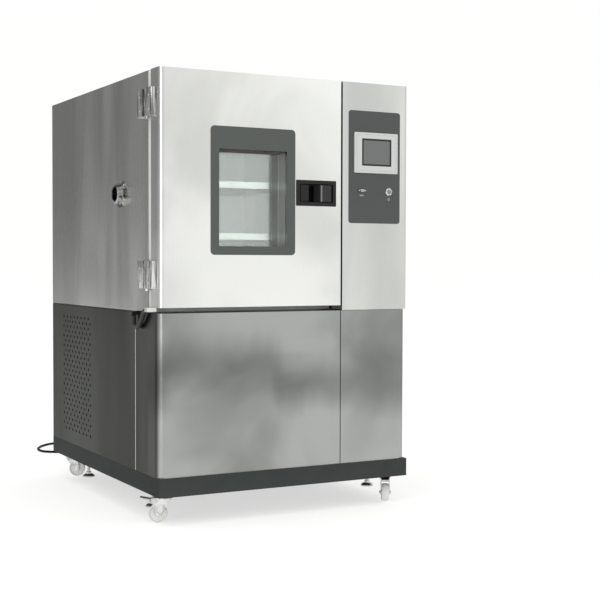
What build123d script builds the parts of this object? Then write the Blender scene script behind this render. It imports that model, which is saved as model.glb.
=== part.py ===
from build123d import *
import math
import os

os.makedirs("parts", exist_ok=True)

# An environmental test chamber on casters, in millimetres: X to the right, Y into the depth, Z up.
# The origin is on the floor, under the middle of the cabinet with its cable port.

# Driving dimensions of the cabinet
cabinet_width = 950
cabinet_depth = 1141
floor_to_base = 95
base_height = 62
lower_height = 536
upper_height = 790
sheet = 2
thin_sheet = 1.5
port_reach = 25

# The door and what it closes
door_width = 674.5
door_thickness = 72
door_bottom_gap = 17
door_edge_radius = 22
column_gap = 4.5
seal_depth = 25
gasket_thickness = 7.7
plug_depth = 53
plug_clearance = 5
chamber_width = 500
chamber_height = 600
chamber_depth = 500
duct_depth = 160
chamber_from_left = 88
chamber_from_split = 98
rear_insulation = 100

# Faces that everything is set out from
left = (port_reach - cabinet_width) / 2
right = left + cabinet_width
front = -cabinet_depth / 2
back = front + cabinet_depth
base_top = floor_to_base + base_height
split = base_top + lower_height
top = split + upper_height
body_front = front + door_thickness + seal_depth
door_bottom = split + door_bottom_gap
door_right = left + door_width
door_back = front + door_thickness
column_left = door_right + column_gap
chamber_left = left + chamber_from_left
chamber_right = chamber_left + chamber_width
chamber_floor = split + chamber_from_split
chamber_roof = chamber_floor + chamber_height
chamber_back = body_front + chamber_depth
duct_back = chamber_back + duct_depth
insulation_back = duct_back + rear_insulation
chamber_mid_x = (chamber_left + chamber_right) / 2
chamber_mid_z = (chamber_floor + chamber_roof) / 2


def front_plane(y):
    """Upright plane at depth y seen from the front: its x is X and its y is Z."""
    return Plane(origin=(0, y, 0), x_dir=(1, 0, 0), z_dir=(0, -1, 0))


def side_plane(x):
    """Upright plane at x that faces the right: its x is Y and its y is Z."""
    return Plane(origin=(x, 0, 0), x_dir=(0, 1, 0), z_dir=(1, 0, 0))


def area(u, v, radius=0, mode=Mode.ADD):
    """Rectangle between two values on each axis of a sketch, with rounded corners if asked."""
    with Locations(((u[0] + u[1]) / 2, (v[0] + v[1]) / 2)):
        if radius:
            RectangleRounded(u[1] - u[0], v[1] - v[0], radius, mode=mode)
        else:
            Rectangle(u[1] - u[0], v[1] - v[0], mode=mode)


def block(x, y, z, mode=Mode.ADD):
    """Box between two values on each axis."""
    with Locations(((x[0] + x[1]) / 2, (y[0] + y[1]) / 2, (z[0] + z[1]) / 2)):
        Box(x[1] - x[0], y[1] - y[0], z[1] - z[0], mode=mode)


def rod(start, direction, radius, length, mode=Mode.ADD):
    """Round bar from a start point along a direction."""
    plane = Plane(origin=start, z_dir=direction)
    with BuildSketch(plane) as section:
        Circle(radius)
    extrude(section.sketch, amount=length, mode=mode)


def write_piece(builder, name):
    """Label a finished piece and write it as a STEP file."""
    builder.part.label = name
    export_step(builder.part, f"parts/{name}.step")


def write_group(builders, name):
    """Label several solids that share a node and write them as one STEP file."""
    group = Compound([solid for builder in builders for solid in builder.part.solids()])
    group.label = name
    export_step(group, f"parts/{name}.step")


# Casters: places, size and the way each one trails at rest
caster_inset_x = 50
caster_inset_y = 70
caster_spots = {
    "front_left": (left + caster_inset_x, front + caster_inset_y, 151),
    "front_right": (right - caster_inset_x, front + caster_inset_y, 242),
    "rear_left": (left + caster_inset_x, back - caster_inset_y, -29),
    "rear_right": (right - caster_inset_x, back - caster_inset_y, 20),
}
wheel_radius = 32
wheel_width = 24
caster_trail = 26
cheek_gap = 1.5
cheek = 3
axle_radius = 4
kingpin_radius = 5
running_gap = 0.05
caster_plate = 4
race_height = 6.7
race_radius = 20
crown = 3
crown_top = floor_to_base - caster_plate - race_height - 0.3
pedal_pin_radius = 3
pedal_pin_x = 38.5
pedal_reach = 46

# Levelling feet inboard of the casters
foot_inset_x = 50
foot_front_y = 190
foot_rear_y = 291
foot_clearance = 32
foot_disc_radius = 23
stud_radius = 6
foot_spots = {
    "front_left": (left + foot_inset_x, front + foot_front_y),
    "front_right": (right - foot_inset_x, front + foot_front_y),
    "rear_left": (left + foot_inset_x, back - foot_rear_y),
    "rear_right": (right - foot_inset_x, back - foot_rear_y),
}

# Plinth: a pan of folded steel with an inward flange that carries casters and feet
base_setback = 3
base_wall = 3
base_flange = 90
bush_radius = 13
bush_height = 23
with BuildPart() as base_frame:
    with BuildSketch(Plane.XY.offset(floor_to_base)):
        area((left, right), (front + base_setback, back))
    extrude(amount=base_height)
    with BuildSketch(Plane.XY.offset(floor_to_base + base_wall)):
        area((left + base_wall, right - base_wall), (front + base_setback + base_wall, back - base_wall))
    extrude(amount=base_height - 2 * base_wall, mode=Mode.SUBTRACT)
    with BuildSketch(Plane.XY.offset(floor_to_base)):
        area(
            (left + base_flange, right - base_flange),
            (front + base_setback + base_flange, back - base_flange),
        )
    extrude(amount=base_wall, mode=Mode.SUBTRACT)
    with Locations([(x, y, floor_to_base + base_wall) for x, y in foot_spots.values()]):
        Cylinder(bush_radius, bush_height, align=(Align.CENTER, Align.CENTER, Align.MIN))
    with Locations([(x, y, floor_to_base) for x, y in foot_spots.values()]):
        Cylinder(
            stud_radius + running_gap,
            base_wall + bush_height,
            align=(Align.CENTER, Align.CENTER, Align.MIN),
            mode=Mode.SUBTRACT,
        )
    for x, y, turn in caster_spots.values():
        with BuildSketch(Plane.XY.offset(floor_to_base)) as plate:
            with Locations((x, y)):
                RectangleRounded(78, 70, 6)
        extrude(plate.sketch, amount=-caster_plate)
        rod((x, y, floor_to_base - caster_plate), (0, 0, -1), race_radius, race_height)
        rod((x, y, floor_to_base - caster_plate), (0, 0, -1), kingpin_radius, race_height + crown + 1)
        rod((x, y, crown_top - crown - 0.5), (0, 0, -1), 8, 6)
write_piece(base_frame, "base_frame")


def caster_plane(x, y, turn):
    """Upright plane through a caster's swivel axis: its x points the way the wheel trails."""
    way = math.radians(turn)
    return Plane(
        origin=(x, y, 0), x_dir=(math.cos(way), math.sin(way), 0), z_dir=(math.sin(way), -math.cos(way), 0)
    )


# Fork: a crown plate under the race and two cheeks that taper to the axle
cheek_inside = wheel_width / 2 + cheek_gap
for place, (x, y, turn) in caster_spots.items():
    middle = caster_plane(x, y, turn)
    braked = place.startswith("front")
    with BuildPart() as fork:
        for side in (-1, 1):
            cheek_start = cheek_inside if side > 0 else -cheek_inside - cheek
            with BuildSketch(middle.offset(cheek_start)) as outline:
                with Locations((caster_trail, wheel_radius)):
                    Circle(9)
                area((-17, pedal_pin_x + 6 if braked else 30), (crown_top - 9, crown_top))
                make_hull()
            extrude(outline.sketch, amount=cheek)
        crown_plane = Plane(origin=(x, y, crown_top), x_dir=middle.x_dir, z_dir=(0, 0, 1))
        with BuildSketch(crown_plane) as crown_shape:
            Circle(23)
            area((0, 32), (-cheek_inside - cheek, cheek_inside + cheek))
            Circle(kingpin_radius + running_gap, mode=Mode.SUBTRACT)
        extrude(crown_shape.sketch, amount=-crown)
        with BuildSketch(middle.offset(-cheek_inside - cheek - 3)) as axle:
            with Locations((caster_trail, wheel_radius)):
                Circle(axle_radius)
        extrude(axle.sketch, amount=2 * (cheek_inside + cheek + 3))
        for side in (-1, 1):
            bolt_start = cheek_inside + cheek if side > 0 else -cheek_inside - cheek - 4
            with BuildSketch(middle.offset(bolt_start)) as bolt_head:
                with Locations((caster_trail, wheel_radius)):
                    RegularPolygon(6.5, 6)
            extrude(bolt_head.sketch, amount=4)
        if braked:
            with BuildSketch(middle.offset(-cheek_inside)) as pedal_pin:
                with Locations((pedal_pin_x, crown_top - 6)):
                    Circle(pedal_pin_radius)
            extrude(pedal_pin.sketch, amount=2 * cheek_inside)
    write_piece(fork, f"caster_fork_{place}")

    axle_point = middle.from_local_coords((caster_trail, wheel_radius, 0))
    with BuildPart() as wheel:
        with BuildSketch(Plane(origin=axle_point, x_dir=middle.z_dir, z_dir=middle.x_dir)):
            with BuildLine():
                Polyline(
                    (-wheel_width / 2 - 1, axle_radius + running_gap),
                    (-wheel_width / 2 - 1, 10),
                    (-wheel_width / 2 + 4, 12),
                    (-wheel_width / 2 + 4, wheel_radius - 7),
                    (-wheel_width / 2, wheel_radius - 5),
                    (-wheel_width / 2, wheel_radius - 2.5),
                )
                ThreePointArc(
                    (-wheel_width / 2, wheel_radius - 2.5),
                    (0, wheel_radius),
                    (wheel_width / 2, wheel_radius - 2.5),
                )
                Polyline(
                    (wheel_width / 2, wheel_radius - 2.5),
                    (wheel_width / 2, wheel_radius - 5),
                    (wheel_width / 2 - 4, wheel_radius - 7),
                    (wheel_width / 2 - 4, 12),
                    (wheel_width / 2 + 1, 10),
                    (wheel_width / 2 + 1, axle_radius + running_gap),
                    (-wheel_width / 2 - 1, axle_radius + running_gap),
                )
            make_face()
        revolve(axis=Axis(axle_point, middle.z_dir))
    write_piece(wheel, f"caster_wheel_{place}")

    # Brake pedal of a front caster: a barrel on the fork's pin and a tread plate
    if braked:
        with BuildPart() as pedal:
            with BuildSketch(middle.offset(-cheek_inside + 0.5)) as barrel:
                with Locations((pedal_pin_x, crown_top - 6)):
                    Circle(5.4)
                    Circle(pedal_pin_radius + running_gap, mode=Mode.SUBTRACT)
            extrude(barrel.sketch, amount=2 * cheek_inside - 1)
            with BuildSketch(middle.offset(-cheek_inside + 0.5)) as tread:
                with BuildLine():
                    Polyline(
                        (pedal_pin_x + 4.4, crown_top - 8),
                        (pedal_pin_x + 18, crown_top - 7),
                        (pedal_pin_x + pedal_reach, crown_top - 1),
                        (pedal_pin_x + pedal_reach, crown_top + 2),
                        (pedal_pin_x + 16, crown_top - 3),
                        (pedal_pin_x + 4.4, crown_top - 4),
                        (pedal_pin_x + 4.4, crown_top - 8),
                    )
                make_face()
            extrude(tread.sketch, amount=2 * cheek_inside - 1)
        write_piece(pedal, f"brake_pedal_{place}")

# Levelling foot: domed disc, hexagon and threaded stud in the plinth's bush
for place, (x, y) in foot_spots.items():
    with BuildPart() as foot:
        with BuildSketch(Plane(origin=(x, y, foot_clearance), x_dir=(1, 0, 0), z_dir=(0, -1, 0))):
            with BuildLine():
                Polyline((0, 0), (foot_disc_radius, 0), (foot_disc_radius, 4))
                ThreePointArc((foot_disc_radius, 4), (17, 9.5), (10, 12))
                Polyline((10, 12), (0, 12), (0, 0))
            make_face()
        revolve(axis=Axis((x, y, 0), (0, 0, 1)))
        with BuildSketch(Plane.XY.offset(foot_clearance + 12)):
            with Locations((x, y)):
                RegularPolygon(11, 6)
        extrude(amount=8)
        rod((x, y, foot_clearance + 12), (0, 0, 1), stud_radius, base_top - 16 - foot_clearance - 12)
    write_piece(foot, f"levelling_foot_{place}")

# Lower body: four folded posts under a deck
front_post = (front + 100, front + 212)
rear_post = (front + 1048, back - sheet)
post_return = 40
deck = 3
conduit_x = left - 12
conduit_radius = 8
with BuildPart() as support_frame:
    for near, far in (front_post, rear_post):
        for wall, inward in ((left, 1), (right, -1)):
            with BuildSketch(Plane.XY.offset(base_top)) as post:
                area(tuple(sorted((wall, wall + inward * post_return))), (near, far))
                area(
                    tuple(sorted((wall + inward * sheet, wall + inward * (post_return + 1)))),
                    (near + sheet, far - sheet),
                    mode=Mode.SUBTRACT,
                )
            extrude(post.sketch, amount=lower_height - deck)
    with BuildSketch(Plane.XY.offset(split - deck)):
        area((left, right), (front_post[0], back - sheet))
    extrude(amount=deck)
    block((conduit_x - 11, left), (front + 186, front + 212), (split - 11, split))
write_piece(support_frame, "support_frame")

# Removable side panels: the left one is punched with rows of staggered holes, the right one louvred
panel_gap = 1
panel_lip = 12
vent_radius = 6
vent_pitch_y = 41.6
vent_pitch_z = 18.9
vent_columns = 8
vent_row_pairs = 12
vent_middle = (front + 839, base_top + 271.5)
for name, outer, inward in (("left_access_panel", left, 1), ("right_access_panel", right, -1)):
    panel_y = (front_post[1] + panel_gap, rear_post[0] - panel_gap)
    panel_z = (base_top, split - deck - panel_gap)
    with BuildPart() as panel:
        with BuildSketch(side_plane(outer)):
            area(panel_y, panel_z)
        extrude(amount=inward * panel_lip)
        with BuildSketch(side_plane(outer + inward * thin_sheet)):
            area((panel_y[0] + sheet, panel_y[1] - sheet), (panel_z[0] + sheet, panel_z[1] - sheet))
        extrude(amount=inward * panel_lip, mode=Mode.SUBTRACT)
        with BuildSketch(side_plane(outer)):
            if inward > 0:
                for way in (-1, 1):
                    row_y = vent_middle[0] + way * vent_pitch_y / 4
                    row_z = vent_middle[1] + way * vent_pitch_z / 2
                    with Locations((row_y, row_z)):
                        with GridLocations(vent_pitch_y, 2 * vent_pitch_z, vent_columns, vent_row_pairs):
                            RegularPolygon(vent_radius, 6)
            else:
                with Locations(vent_middle):
                    with GridLocations(150, 34, 2, 11):
                        Rectangle(120, 8)
        extrude(amount=inward * thin_sheet, mode=Mode.SUBTRACT)
    write_piece(panel, name)

# Lower covers: folded trays with one large rounded edge each, open at the back
cover_setback = 8
cover_top = split - 1.5
cover_radius = 32
cover_split = left + 676
for name, u, corner in (
    ("front_lower_cover", (left, cover_split), Align.MIN),
    ("right_lower_cover", (cover_split + 3, right), Align.MAX),
):
    with BuildPart() as cover:
        with BuildSketch(Plane.XY.offset(base_top)):
            area(u, (front + cover_setback, front_post[0]))
        extrude(amount=cover_top - base_top)
        upright = cover.edges().filter_by(Axis.Z).group_by(Axis.Y)[0].sort_by(Axis.X)
        fillet(upright[0] if corner == Align.MIN else upright[-1], cover_radius)
        offset(amount=-sheet, openings=cover.faces().sort_by(Axis.Y)[-1])
    write_piece(cover, name)

# Upper casing: a sleeve of left side, roof, right side and floor
casing_radius = 3
port_y = front + 346
port_outer = 32.5
with BuildPart() as outer_casing:
    with BuildSketch(front_plane(body_front)):
        area((left, right), (split, top), casing_radius)
        area((left + sheet, right - sheet), (split + sheet, top - sheet), mode=Mode.SUBTRACT)
    extrude(amount=-(back - sheet - body_front))
    rod((left - 1, port_y, chamber_mid_z), (1, 0, 0), port_outer, sheet + 2, Mode.SUBTRACT)
write_piece(outer_casing, "outer_casing")

# Rear panels with louvres, the lower one with the cord's hole
gland_x = -40
gland_z = base_top + 45
gland_hole = 10
with BuildPart() as rear_panels:
    with BuildSketch(front_plane(back)):
        area((left, right), (split, top), casing_radius)
        with Locations(((left + right) / 2, split + 600)):
            with GridLocations(260, 24, 2, 8):
                Rectangle(200, 8, mode=Mode.SUBTRACT)
    extrude(amount=sheet)
    with BuildSketch(front_plane(back)):
        area((left, right), (base_top, split - 1))
        with Locations(((left + right) / 2, base_top + 320)):
            with GridLocations(260, 24, 2, 12):
                Rectangle(200, 8, mode=Mode.SUBTRACT)
        with Locations((gland_x, gland_z)):
            Circle(gland_hole, mode=Mode.SUBTRACT)
    extrude(amount=sheet)
write_piece(rear_panels, "rear_panels")

# Chamber liner of stainless sheet with shelf runners
liner_radius = 4
shelf_heights = (chamber_mid_z - 134, chamber_mid_z + 42)
runner = 12
shelf_rim = 22
shaft_radius = 6
liner_outer_x = (chamber_left - thin_sheet, chamber_right + thin_sheet)
liner_outer_z = (chamber_floor - thin_sheet, chamber_roof + thin_sheet)
liner_back = duct_back + thin_sheet
with BuildPart() as inner_liner:
    with BuildSketch(front_plane(body_front)):
        area(liner_outer_x, liner_outer_z, liner_radius + thin_sheet)
    extrude(amount=-(liner_back - body_front))
    with BuildSketch(front_plane(body_front)):
        area((chamber_left, chamber_right), (chamber_floor, chamber_roof), liner_radius)
    extrude(amount=-(duct_back - body_front), mode=Mode.SUBTRACT)
    for shelf_z in shelf_heights:
        for wall in ((chamber_left, chamber_left + runner), (chamber_right - runner, chamber_right)):
            runner_z = (shelf_z - shelf_rim - sheet, shelf_z - shelf_rim)
            block(wall, (body_front + 30, chamber_back - 10), runner_z)
    rod((liner_outer_x[0] - 1, port_y, chamber_mid_z), (1, 0, 0), port_outer, thin_sheet + 2, Mode.SUBTRACT)
    shaft_hole = (chamber_mid_x, duct_back - 1, chamber_mid_z)
    rod(shaft_hole, (0, 1, 0), shaft_radius + 2, thin_sheet + 2, Mode.SUBTRACT)
write_piece(inner_liner, "inner_liner")

# Foam around the liner
with BuildPart() as insulation:
    block((left + sheet, left + 674), (body_front, insulation_back), (split + sheet, top - sheet))
    with BuildSketch(front_plane(body_front)):
        area(liner_outer_x, liner_outer_z, liner_radius + thin_sheet)
    extrude(amount=-(liner_back - body_front), mode=Mode.SUBTRACT)
    rod((left, port_y, chamber_mid_z), (1, 0, 0), port_outer, chamber_from_left, Mode.SUBTRACT)
    rod((chamber_mid_x, duct_back, chamber_mid_z), (0, 1, 0), 15, rear_insulation + 1, Mode.SUBTRACT)
write_piece(insulation, "insulation")

# Thermal-break jamb around the chamber mouth, with the latch's keeper cup set into it
jamb_front = body_front - 17
keeper_x = (left + 632, left + 665)
keeper_z = (split + 375, split + 424)
keeper_wall = 3
keeper_lip = 4
with BuildPart() as latch_keeper:
    block(keeper_x, (jamb_front, body_front), keeper_z)
    block(
        (keeper_x[0] + keeper_wall, keeper_x[1] - keeper_lip),
        (jamb_front - 1, body_front - sheet),
        (keeper_z[0] + keeper_wall, keeper_z[1] - keeper_wall),
        Mode.SUBTRACT,
    )
    block(
        (keeper_x[1] - 2 * keeper_lip, keeper_x[1] - keeper_lip),
        (jamb_front, jamb_front + 5),
        (keeper_z[0] + keeper_wall, keeper_z[1] - keeper_wall),
    )
with BuildPart() as jamb_ring:
    with BuildSketch(front_plane(jamb_front)):
        area((left + 3, left + 673), (split + 3, top - 3), 2)
        area((chamber_left, chamber_right), (chamber_floor, chamber_roof), liner_radius, mode=Mode.SUBTRACT)
        area(keeper_x, keeper_z, mode=Mode.SUBTRACT)
    extrude(amount=-(body_front - jamb_front))
write_group([jamb_ring, latch_keeper], "door_jamb")

# Shelves: folded trays with slots, resting on the runners
shelf_gap = 2
with BuildPart() as shelves:
    for shelf_z in shelf_heights:
        block(
            (chamber_left + shelf_gap, chamber_right - shelf_gap),
            (body_front + 32, chamber_back - 12),
            (shelf_z - shelf_rim, shelf_z),
        )
        block(
            (chamber_left + shelf_gap + sheet, chamber_right - shelf_gap - sheet),
            (body_front + 32 + sheet, chamber_back - 12 - sheet),
            (shelf_z - shelf_rim, shelf_z - sheet),
            Mode.SUBTRACT,
        )
        with BuildSketch(Plane.XY.offset(shelf_z - sheet)) as slots:
            with Locations((chamber_mid_x, (body_front + chamber_back + 20) / 2)):
                with GridLocations(110, 36, 4, 11):
                    Rectangle(92, 14)
        extrude(slots.sketch, amount=sheet, mode=Mode.SUBTRACT)
write_piece(shelves, "shelves")

# Duct panel in front of the fan, with a guard of broken rings
panel_slot = 25
with BuildPart() as air_duct_panel:
    with BuildSketch(front_plane(chamber_back)):
        area((chamber_left, chamber_right), (chamber_floor + panel_slot, chamber_roof - panel_slot))
        with Locations((chamber_mid_x, chamber_mid_z)):
            for ring in (24, 44, 64, 84):
                Circle(ring + 14, mode=Mode.SUBTRACT)
                Circle(ring)
            Circle(24)
            for bar in (0, 90):
                with Locations(Rotation(0, 0, bar)):
                    Rectangle(200, 10)
    extrude(amount=-thin_sheet)
write_piece(air_duct_panel, "air_duct_panel")

# Circulation fan: backplate with radial blades on a long shaft, driven from behind the insulation
fan_radius = 84
fan_back = chamber_back + 70
blade_depth = 34
motor_front = insulation_back
with BuildPart() as circulation_fan:
    rod((chamber_mid_x, fan_back - sheet, chamber_mid_z), (0, 1, 0), fan_radius, sheet)
    rod((chamber_mid_x, fan_back - blade_depth, chamber_mid_z), (0, 1, 0), 16, blade_depth)
    shaft_start = (chamber_mid_x, fan_back - sheet, chamber_mid_z)
    rod(shaft_start, (0, 1, 0), shaft_radius, motor_front + 28 - fan_back)
    with BuildSketch(front_plane(fan_back)) as blades:
        with Locations((chamber_mid_x, chamber_mid_z)):
            with PolarLocations(64, 12):
                with Locations(Rotation(0, 0, 35)):
                    Rectangle(36, 2)
    extrude(blades.sketch, amount=blade_depth)
write_piece(circulation_fan, "circulation_fan")

with BuildPart() as circulation_fan_motor:
    with BuildSketch(front_plane(motor_front)):
        with Locations((chamber_mid_x, chamber_mid_z)):
            RectangleRounded(130, 130, 12)
    extrude(amount=-6)
    rod((chamber_mid_x, motor_front, chamber_mid_z), (0, 1, 0), 56, 96)
    fillet(circulation_fan_motor.edges().filter_by(GeomType.CIRCLE).sort_by(Axis.Y)[-1], 8)
    motor_bore = (chamber_mid_x, motor_front, chamber_mid_z)
    rod(motor_bore, (0, 1, 0), shaft_radius + running_gap, 30, Mode.SUBTRACT)
    block(
        (chamber_mid_x - 24, chamber_mid_x + 24),
        (motor_front + 25, motor_front + 80),
        (chamber_mid_z + 48, chamber_mid_z + 78),
    )
write_piece(circulation_fan_motor, "circulation_fan_motor")

# Tubular heater: a ring round the fan with two legs to the duct's back wall
heater_ring = 106
heater_tube = 4.5
with BuildPart() as air_heater:
    heater_mid = Vector(chamber_mid_x, fan_back - 15, chamber_mid_z)
    with BuildSketch(Plane(origin=heater_mid, x_dir=(1, 0, 0), z_dir=(0, 0, 1))):
        with Locations((heater_ring, 0)):
            Circle(heater_tube)
    revolve(axis=Axis(heater_mid, (0, 1, 0)), revolution_arc=300)
    for turn in (0, 300):
        end = heater_mid + Vector(heater_ring, 0, 0).rotate(Axis.Y, turn)
        with Locations(end):
            Sphere(heater_tube)
        rod(end, (0, 1, 0), heater_tube, duct_back - end.Y)
write_piece(air_heater, "air_heater")


def finned_coil(x, y, z, fins, fin_axis, tube_spots):
    """Row of plate fins across one axis, threaded on tubes that join them."""
    low, high = (y if fin_axis == "Y" else x)
    for index in range(fins):
        place = low + index * (high - low - 1) / (fins - 1)
        if fin_axis == "Y":
            block(x, (place, place + 1), z)
        else:
            block((place, place + 1), y, z)
    for u, v in tube_spots:
        if fin_axis == "Y":
            rod((u, low, v), (0, 1, 0), 5, high - low)
        else:
            rod((low, u, v), (1, 0, 0), 5, high - low)


# Evaporator in the duct, standing on the liner's floor
evaporator_y = (duct_back - 60, duct_back)
evaporator_z = (chamber_floor, chamber_floor + 100)
with BuildPart() as evaporator:
    finned_coil(
        (chamber_left + 30, chamber_right - 30),
        evaporator_y,
        evaporator_z,
        14,
        "X",
        [(evaporator_y[0] + 15 + 30 * k, evaporator_z[0] + 25 + 50 * k) for k in (0, 1)],
    )
write_piece(evaporator, "evaporator")

# Condenser behind the vented panel, its fan, and the shroud with the motor on four arms
condenser_x = (left + 44, left + 84)
condenser_y = (front + 690, front + 990)
condenser_z = (base_top, base_top + 380)
fan_mid = ((condenser_y[0] + condenser_y[1]) / 2, (condenser_z[0] + condenser_z[1]) / 2 + 10)
shroud_bore = 128
shroud_depth = 56
with BuildPart() as condenser:
    finned_coil(
        condenser_x,
        condenser_y,
        condenser_z,
        18,
        "Y",
        [(condenser_x[0] + 12 + 16 * (k % 2), condenser_z[0] + 40 + 75 * k) for k in range(5)],
    )
write_piece(condenser, "condenser")

with BuildPart() as condenser_fan_shroud:
    with BuildSketch(side_plane(condenser_x[1])):
        area(condenser_y, condenser_z)
    extrude(amount=shroud_depth)
    offset(amount=-sheet, openings=condenser_fan_shroud.faces().sort_by(Axis.X)[0])
    rod((condenser_x[1] + shroud_depth - sheet, *fan_mid), (1, 0, 0), shroud_bore, sheet, Mode.SUBTRACT)
    with BuildSketch(side_plane(condenser_x[1] + shroud_depth)) as arms:
        with Locations(fan_mid):
            for bar in (45, 135):
                with Locations(Rotation(0, 0, bar)):
                    Rectangle(2 * shroud_bore + 16, 14)
    extrude(arms.sketch, amount=4)
    rod((condenser_x[1] + shroud_depth, *fan_mid), (1, 0, 0), 36, 64)
    rod((condenser_x[1] + shroud_depth, *fan_mid), (1, 0, 0), 4 + running_gap, 30, Mode.SUBTRACT)
write_piece(condenser_fan_shroud, "condenser_fan_shroud")

with BuildPart() as condenser_fan:
    rod((condenser_x[1] + 18, fan_mid[0], fan_mid[1]), (1, 0, 0), 30, 26)
    rod((condenser_x[1] + 40, fan_mid[0], fan_mid[1]), (1, 0, 0), 4, 44)
    for blade in range(5):
        angle = math.radians(72 * blade)
        outward = Vector(0, math.cos(angle), math.sin(angle))
        root = Vector(condenser_x[1] + 31, fan_mid[0], fan_mid[1]) + outward * 26
        with BuildSketch(Plane(origin=root, x_dir=Vector(1, 0, 0), z_dir=outward)) as foil:
            with Locations(Rotation(0, 0, 28)):
                Rectangle(3, 44)
        extrude(foil.sketch, amount=94)
write_piece(condenser_fan, "condenser_fan")

# Hermetic compressor on its plate
compressor_spot = (left + 640, front + 800)
with BuildPart() as compressor:
    with BuildSketch(Plane(origin=(*compressor_spot, base_top), x_dir=(1, 0, 0), z_dir=(0, -1, 0))):
        with BuildLine():
            Polyline((0, 0), (60, 0), (60, 12), (86, 34), (86, 205))
            TangentArc((86, 205), (30, 261), tangent=(0, 1))
            Polyline((30, 261), (0, 261), (0, 0))
        make_face()
    revolve(axis=Axis((*compressor_spot, 0), (0, 0, 1)))
    with BuildSketch(Plane.XY.offset(base_top)):
        with Locations(compressor_spot):
            RectangleRounded(230, 190, 20)
    extrude(amount=5)
    rod((compressor_spot[0] + 70, compressor_spot[1], base_top + 150), (1, 0, 0), 8, 50)
    rod((compressor_spot[0], compressor_spot[1], base_top + 200), (0, -1, 0), 6, 120)
write_piece(compressor, "compressor")

# Cable port: a flanged tube from outside the cabinet into the chamber
port_bore = 25
flange_radius = 46.5
with BuildPart() as cable_port:
    rod((left - port_reach, port_y, chamber_mid_z), (1, 0, 0), port_outer, port_reach + chamber_from_left)
    fillet(cable_port.edges().filter_by(GeomType.CIRCLE).sort_by(Axis.X)[0], 2)
    rod((left - 4, port_y, chamber_mid_z), (1, 0, 0), flange_radius, 4)
    rod((left - 12, port_y, chamber_mid_z), (1, 0, 0), 38, 8)
    port_mouth = (left - port_reach, port_y, chamber_mid_z)
    rod(port_mouth, (1, 0, 0), port_bore, port_reach + chamber_from_left, Mode.SUBTRACT)
write_piece(cable_port, "cable_port")

# Door shell: a tray of folded sheet with a rounded hinge edge
window_frame_x = (left + 180, left + 493)
window_frame_z = (base_top + 725, base_top + 1148)
window_x = (left + 210, left + 461)
window_z = (base_top + 754, base_top + 1073)
tunnel_wall = 4
tunnel_x = (window_x[0] - tunnel_wall, window_x[1] + tunnel_wall)
tunnel_z = (window_z[0] - tunnel_wall, window_z[1] + tunnel_wall)
handle_x = (left + 497, left + 652.5)
handle_z = (base_top + 893, base_top + 981)
handle_rim = 13
handle_proud = 3
handle_depth = 30
door_corner = 4
latch_slot_x = (left + 630, left + 662)
latch_slot_z = (handle_z[0] + 22, handle_z[1] - 20)
with BuildPart() as door_shell:
    with BuildSketch(Plane.XY.offset(door_bottom)):
        area((left, door_right), (front, door_back))
    extrude(amount=top - door_bottom)
    upright = door_shell.edges().filter_by(Axis.Z).group_by(Axis.Y)[0].sort_by(Axis.X)
    fillet(upright[0], door_edge_radius)
    fillet(upright[-1], door_corner)
    offset(amount=-sheet, openings=door_shell.faces().sort_by(Axis.Y)[-1])
    with BuildSketch(front_plane(front)) as cut_outs:
        area(tunnel_x, tunnel_z)
        area((handle_x[0] + 4, handle_x[1] - 4), (handle_z[0] + 4, handle_z[1] - 4))
    extrude(cut_outs.sketch, amount=-sheet, mode=Mode.SUBTRACT)
    block((conduit_x - 11, left + 10), (front + 50, front + 72), (door_bottom - 14, door_bottom))
write_piece(door_shell, "door_shell")

# Inner door panel: the door's back with the plug that enters the chamber mouth
plug_x = (chamber_left + plug_clearance, chamber_right - plug_clearance - 1)
plug_z = (chamber_floor + plug_clearance, chamber_roof - plug_clearance)
plug_back = door_back + plug_depth
plug_radius = 14
plug_fill_x = (plug_x[0] + sheet, plug_x[1] - sheet)
plug_fill_z = (plug_z[0] + sheet, plug_z[1] - sheet)
with BuildPart() as door_inner_panel:
    with BuildSketch(front_plane(door_back)):
        area((left + sheet, door_right - sheet), (door_bottom + sheet, top - sheet))
    extrude(amount=sheet)
    with BuildSketch(front_plane(door_back - sheet)) as plug:
        area(plug_x, plug_z, plug_radius)
    extrude(plug.sketch, amount=-(plug_depth + sheet))
    with BuildSketch(front_plane(door_back - sheet)) as plug_hollow:
        area(plug_fill_x, plug_fill_z, plug_radius - sheet)
    extrude(plug_hollow.sketch, amount=-plug_depth, mode=Mode.SUBTRACT)
    with BuildSketch(front_plane(plug_back - sheet)) as window_hole:
        area(tunnel_x, tunnel_z)
    extrude(window_hole.sketch, amount=-sheet, mode=Mode.SUBTRACT)
    block(latch_slot_x, (door_back - sheet, door_back), latch_slot_z, Mode.SUBTRACT)
write_piece(door_inner_panel, "door_inner_panel")

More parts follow.
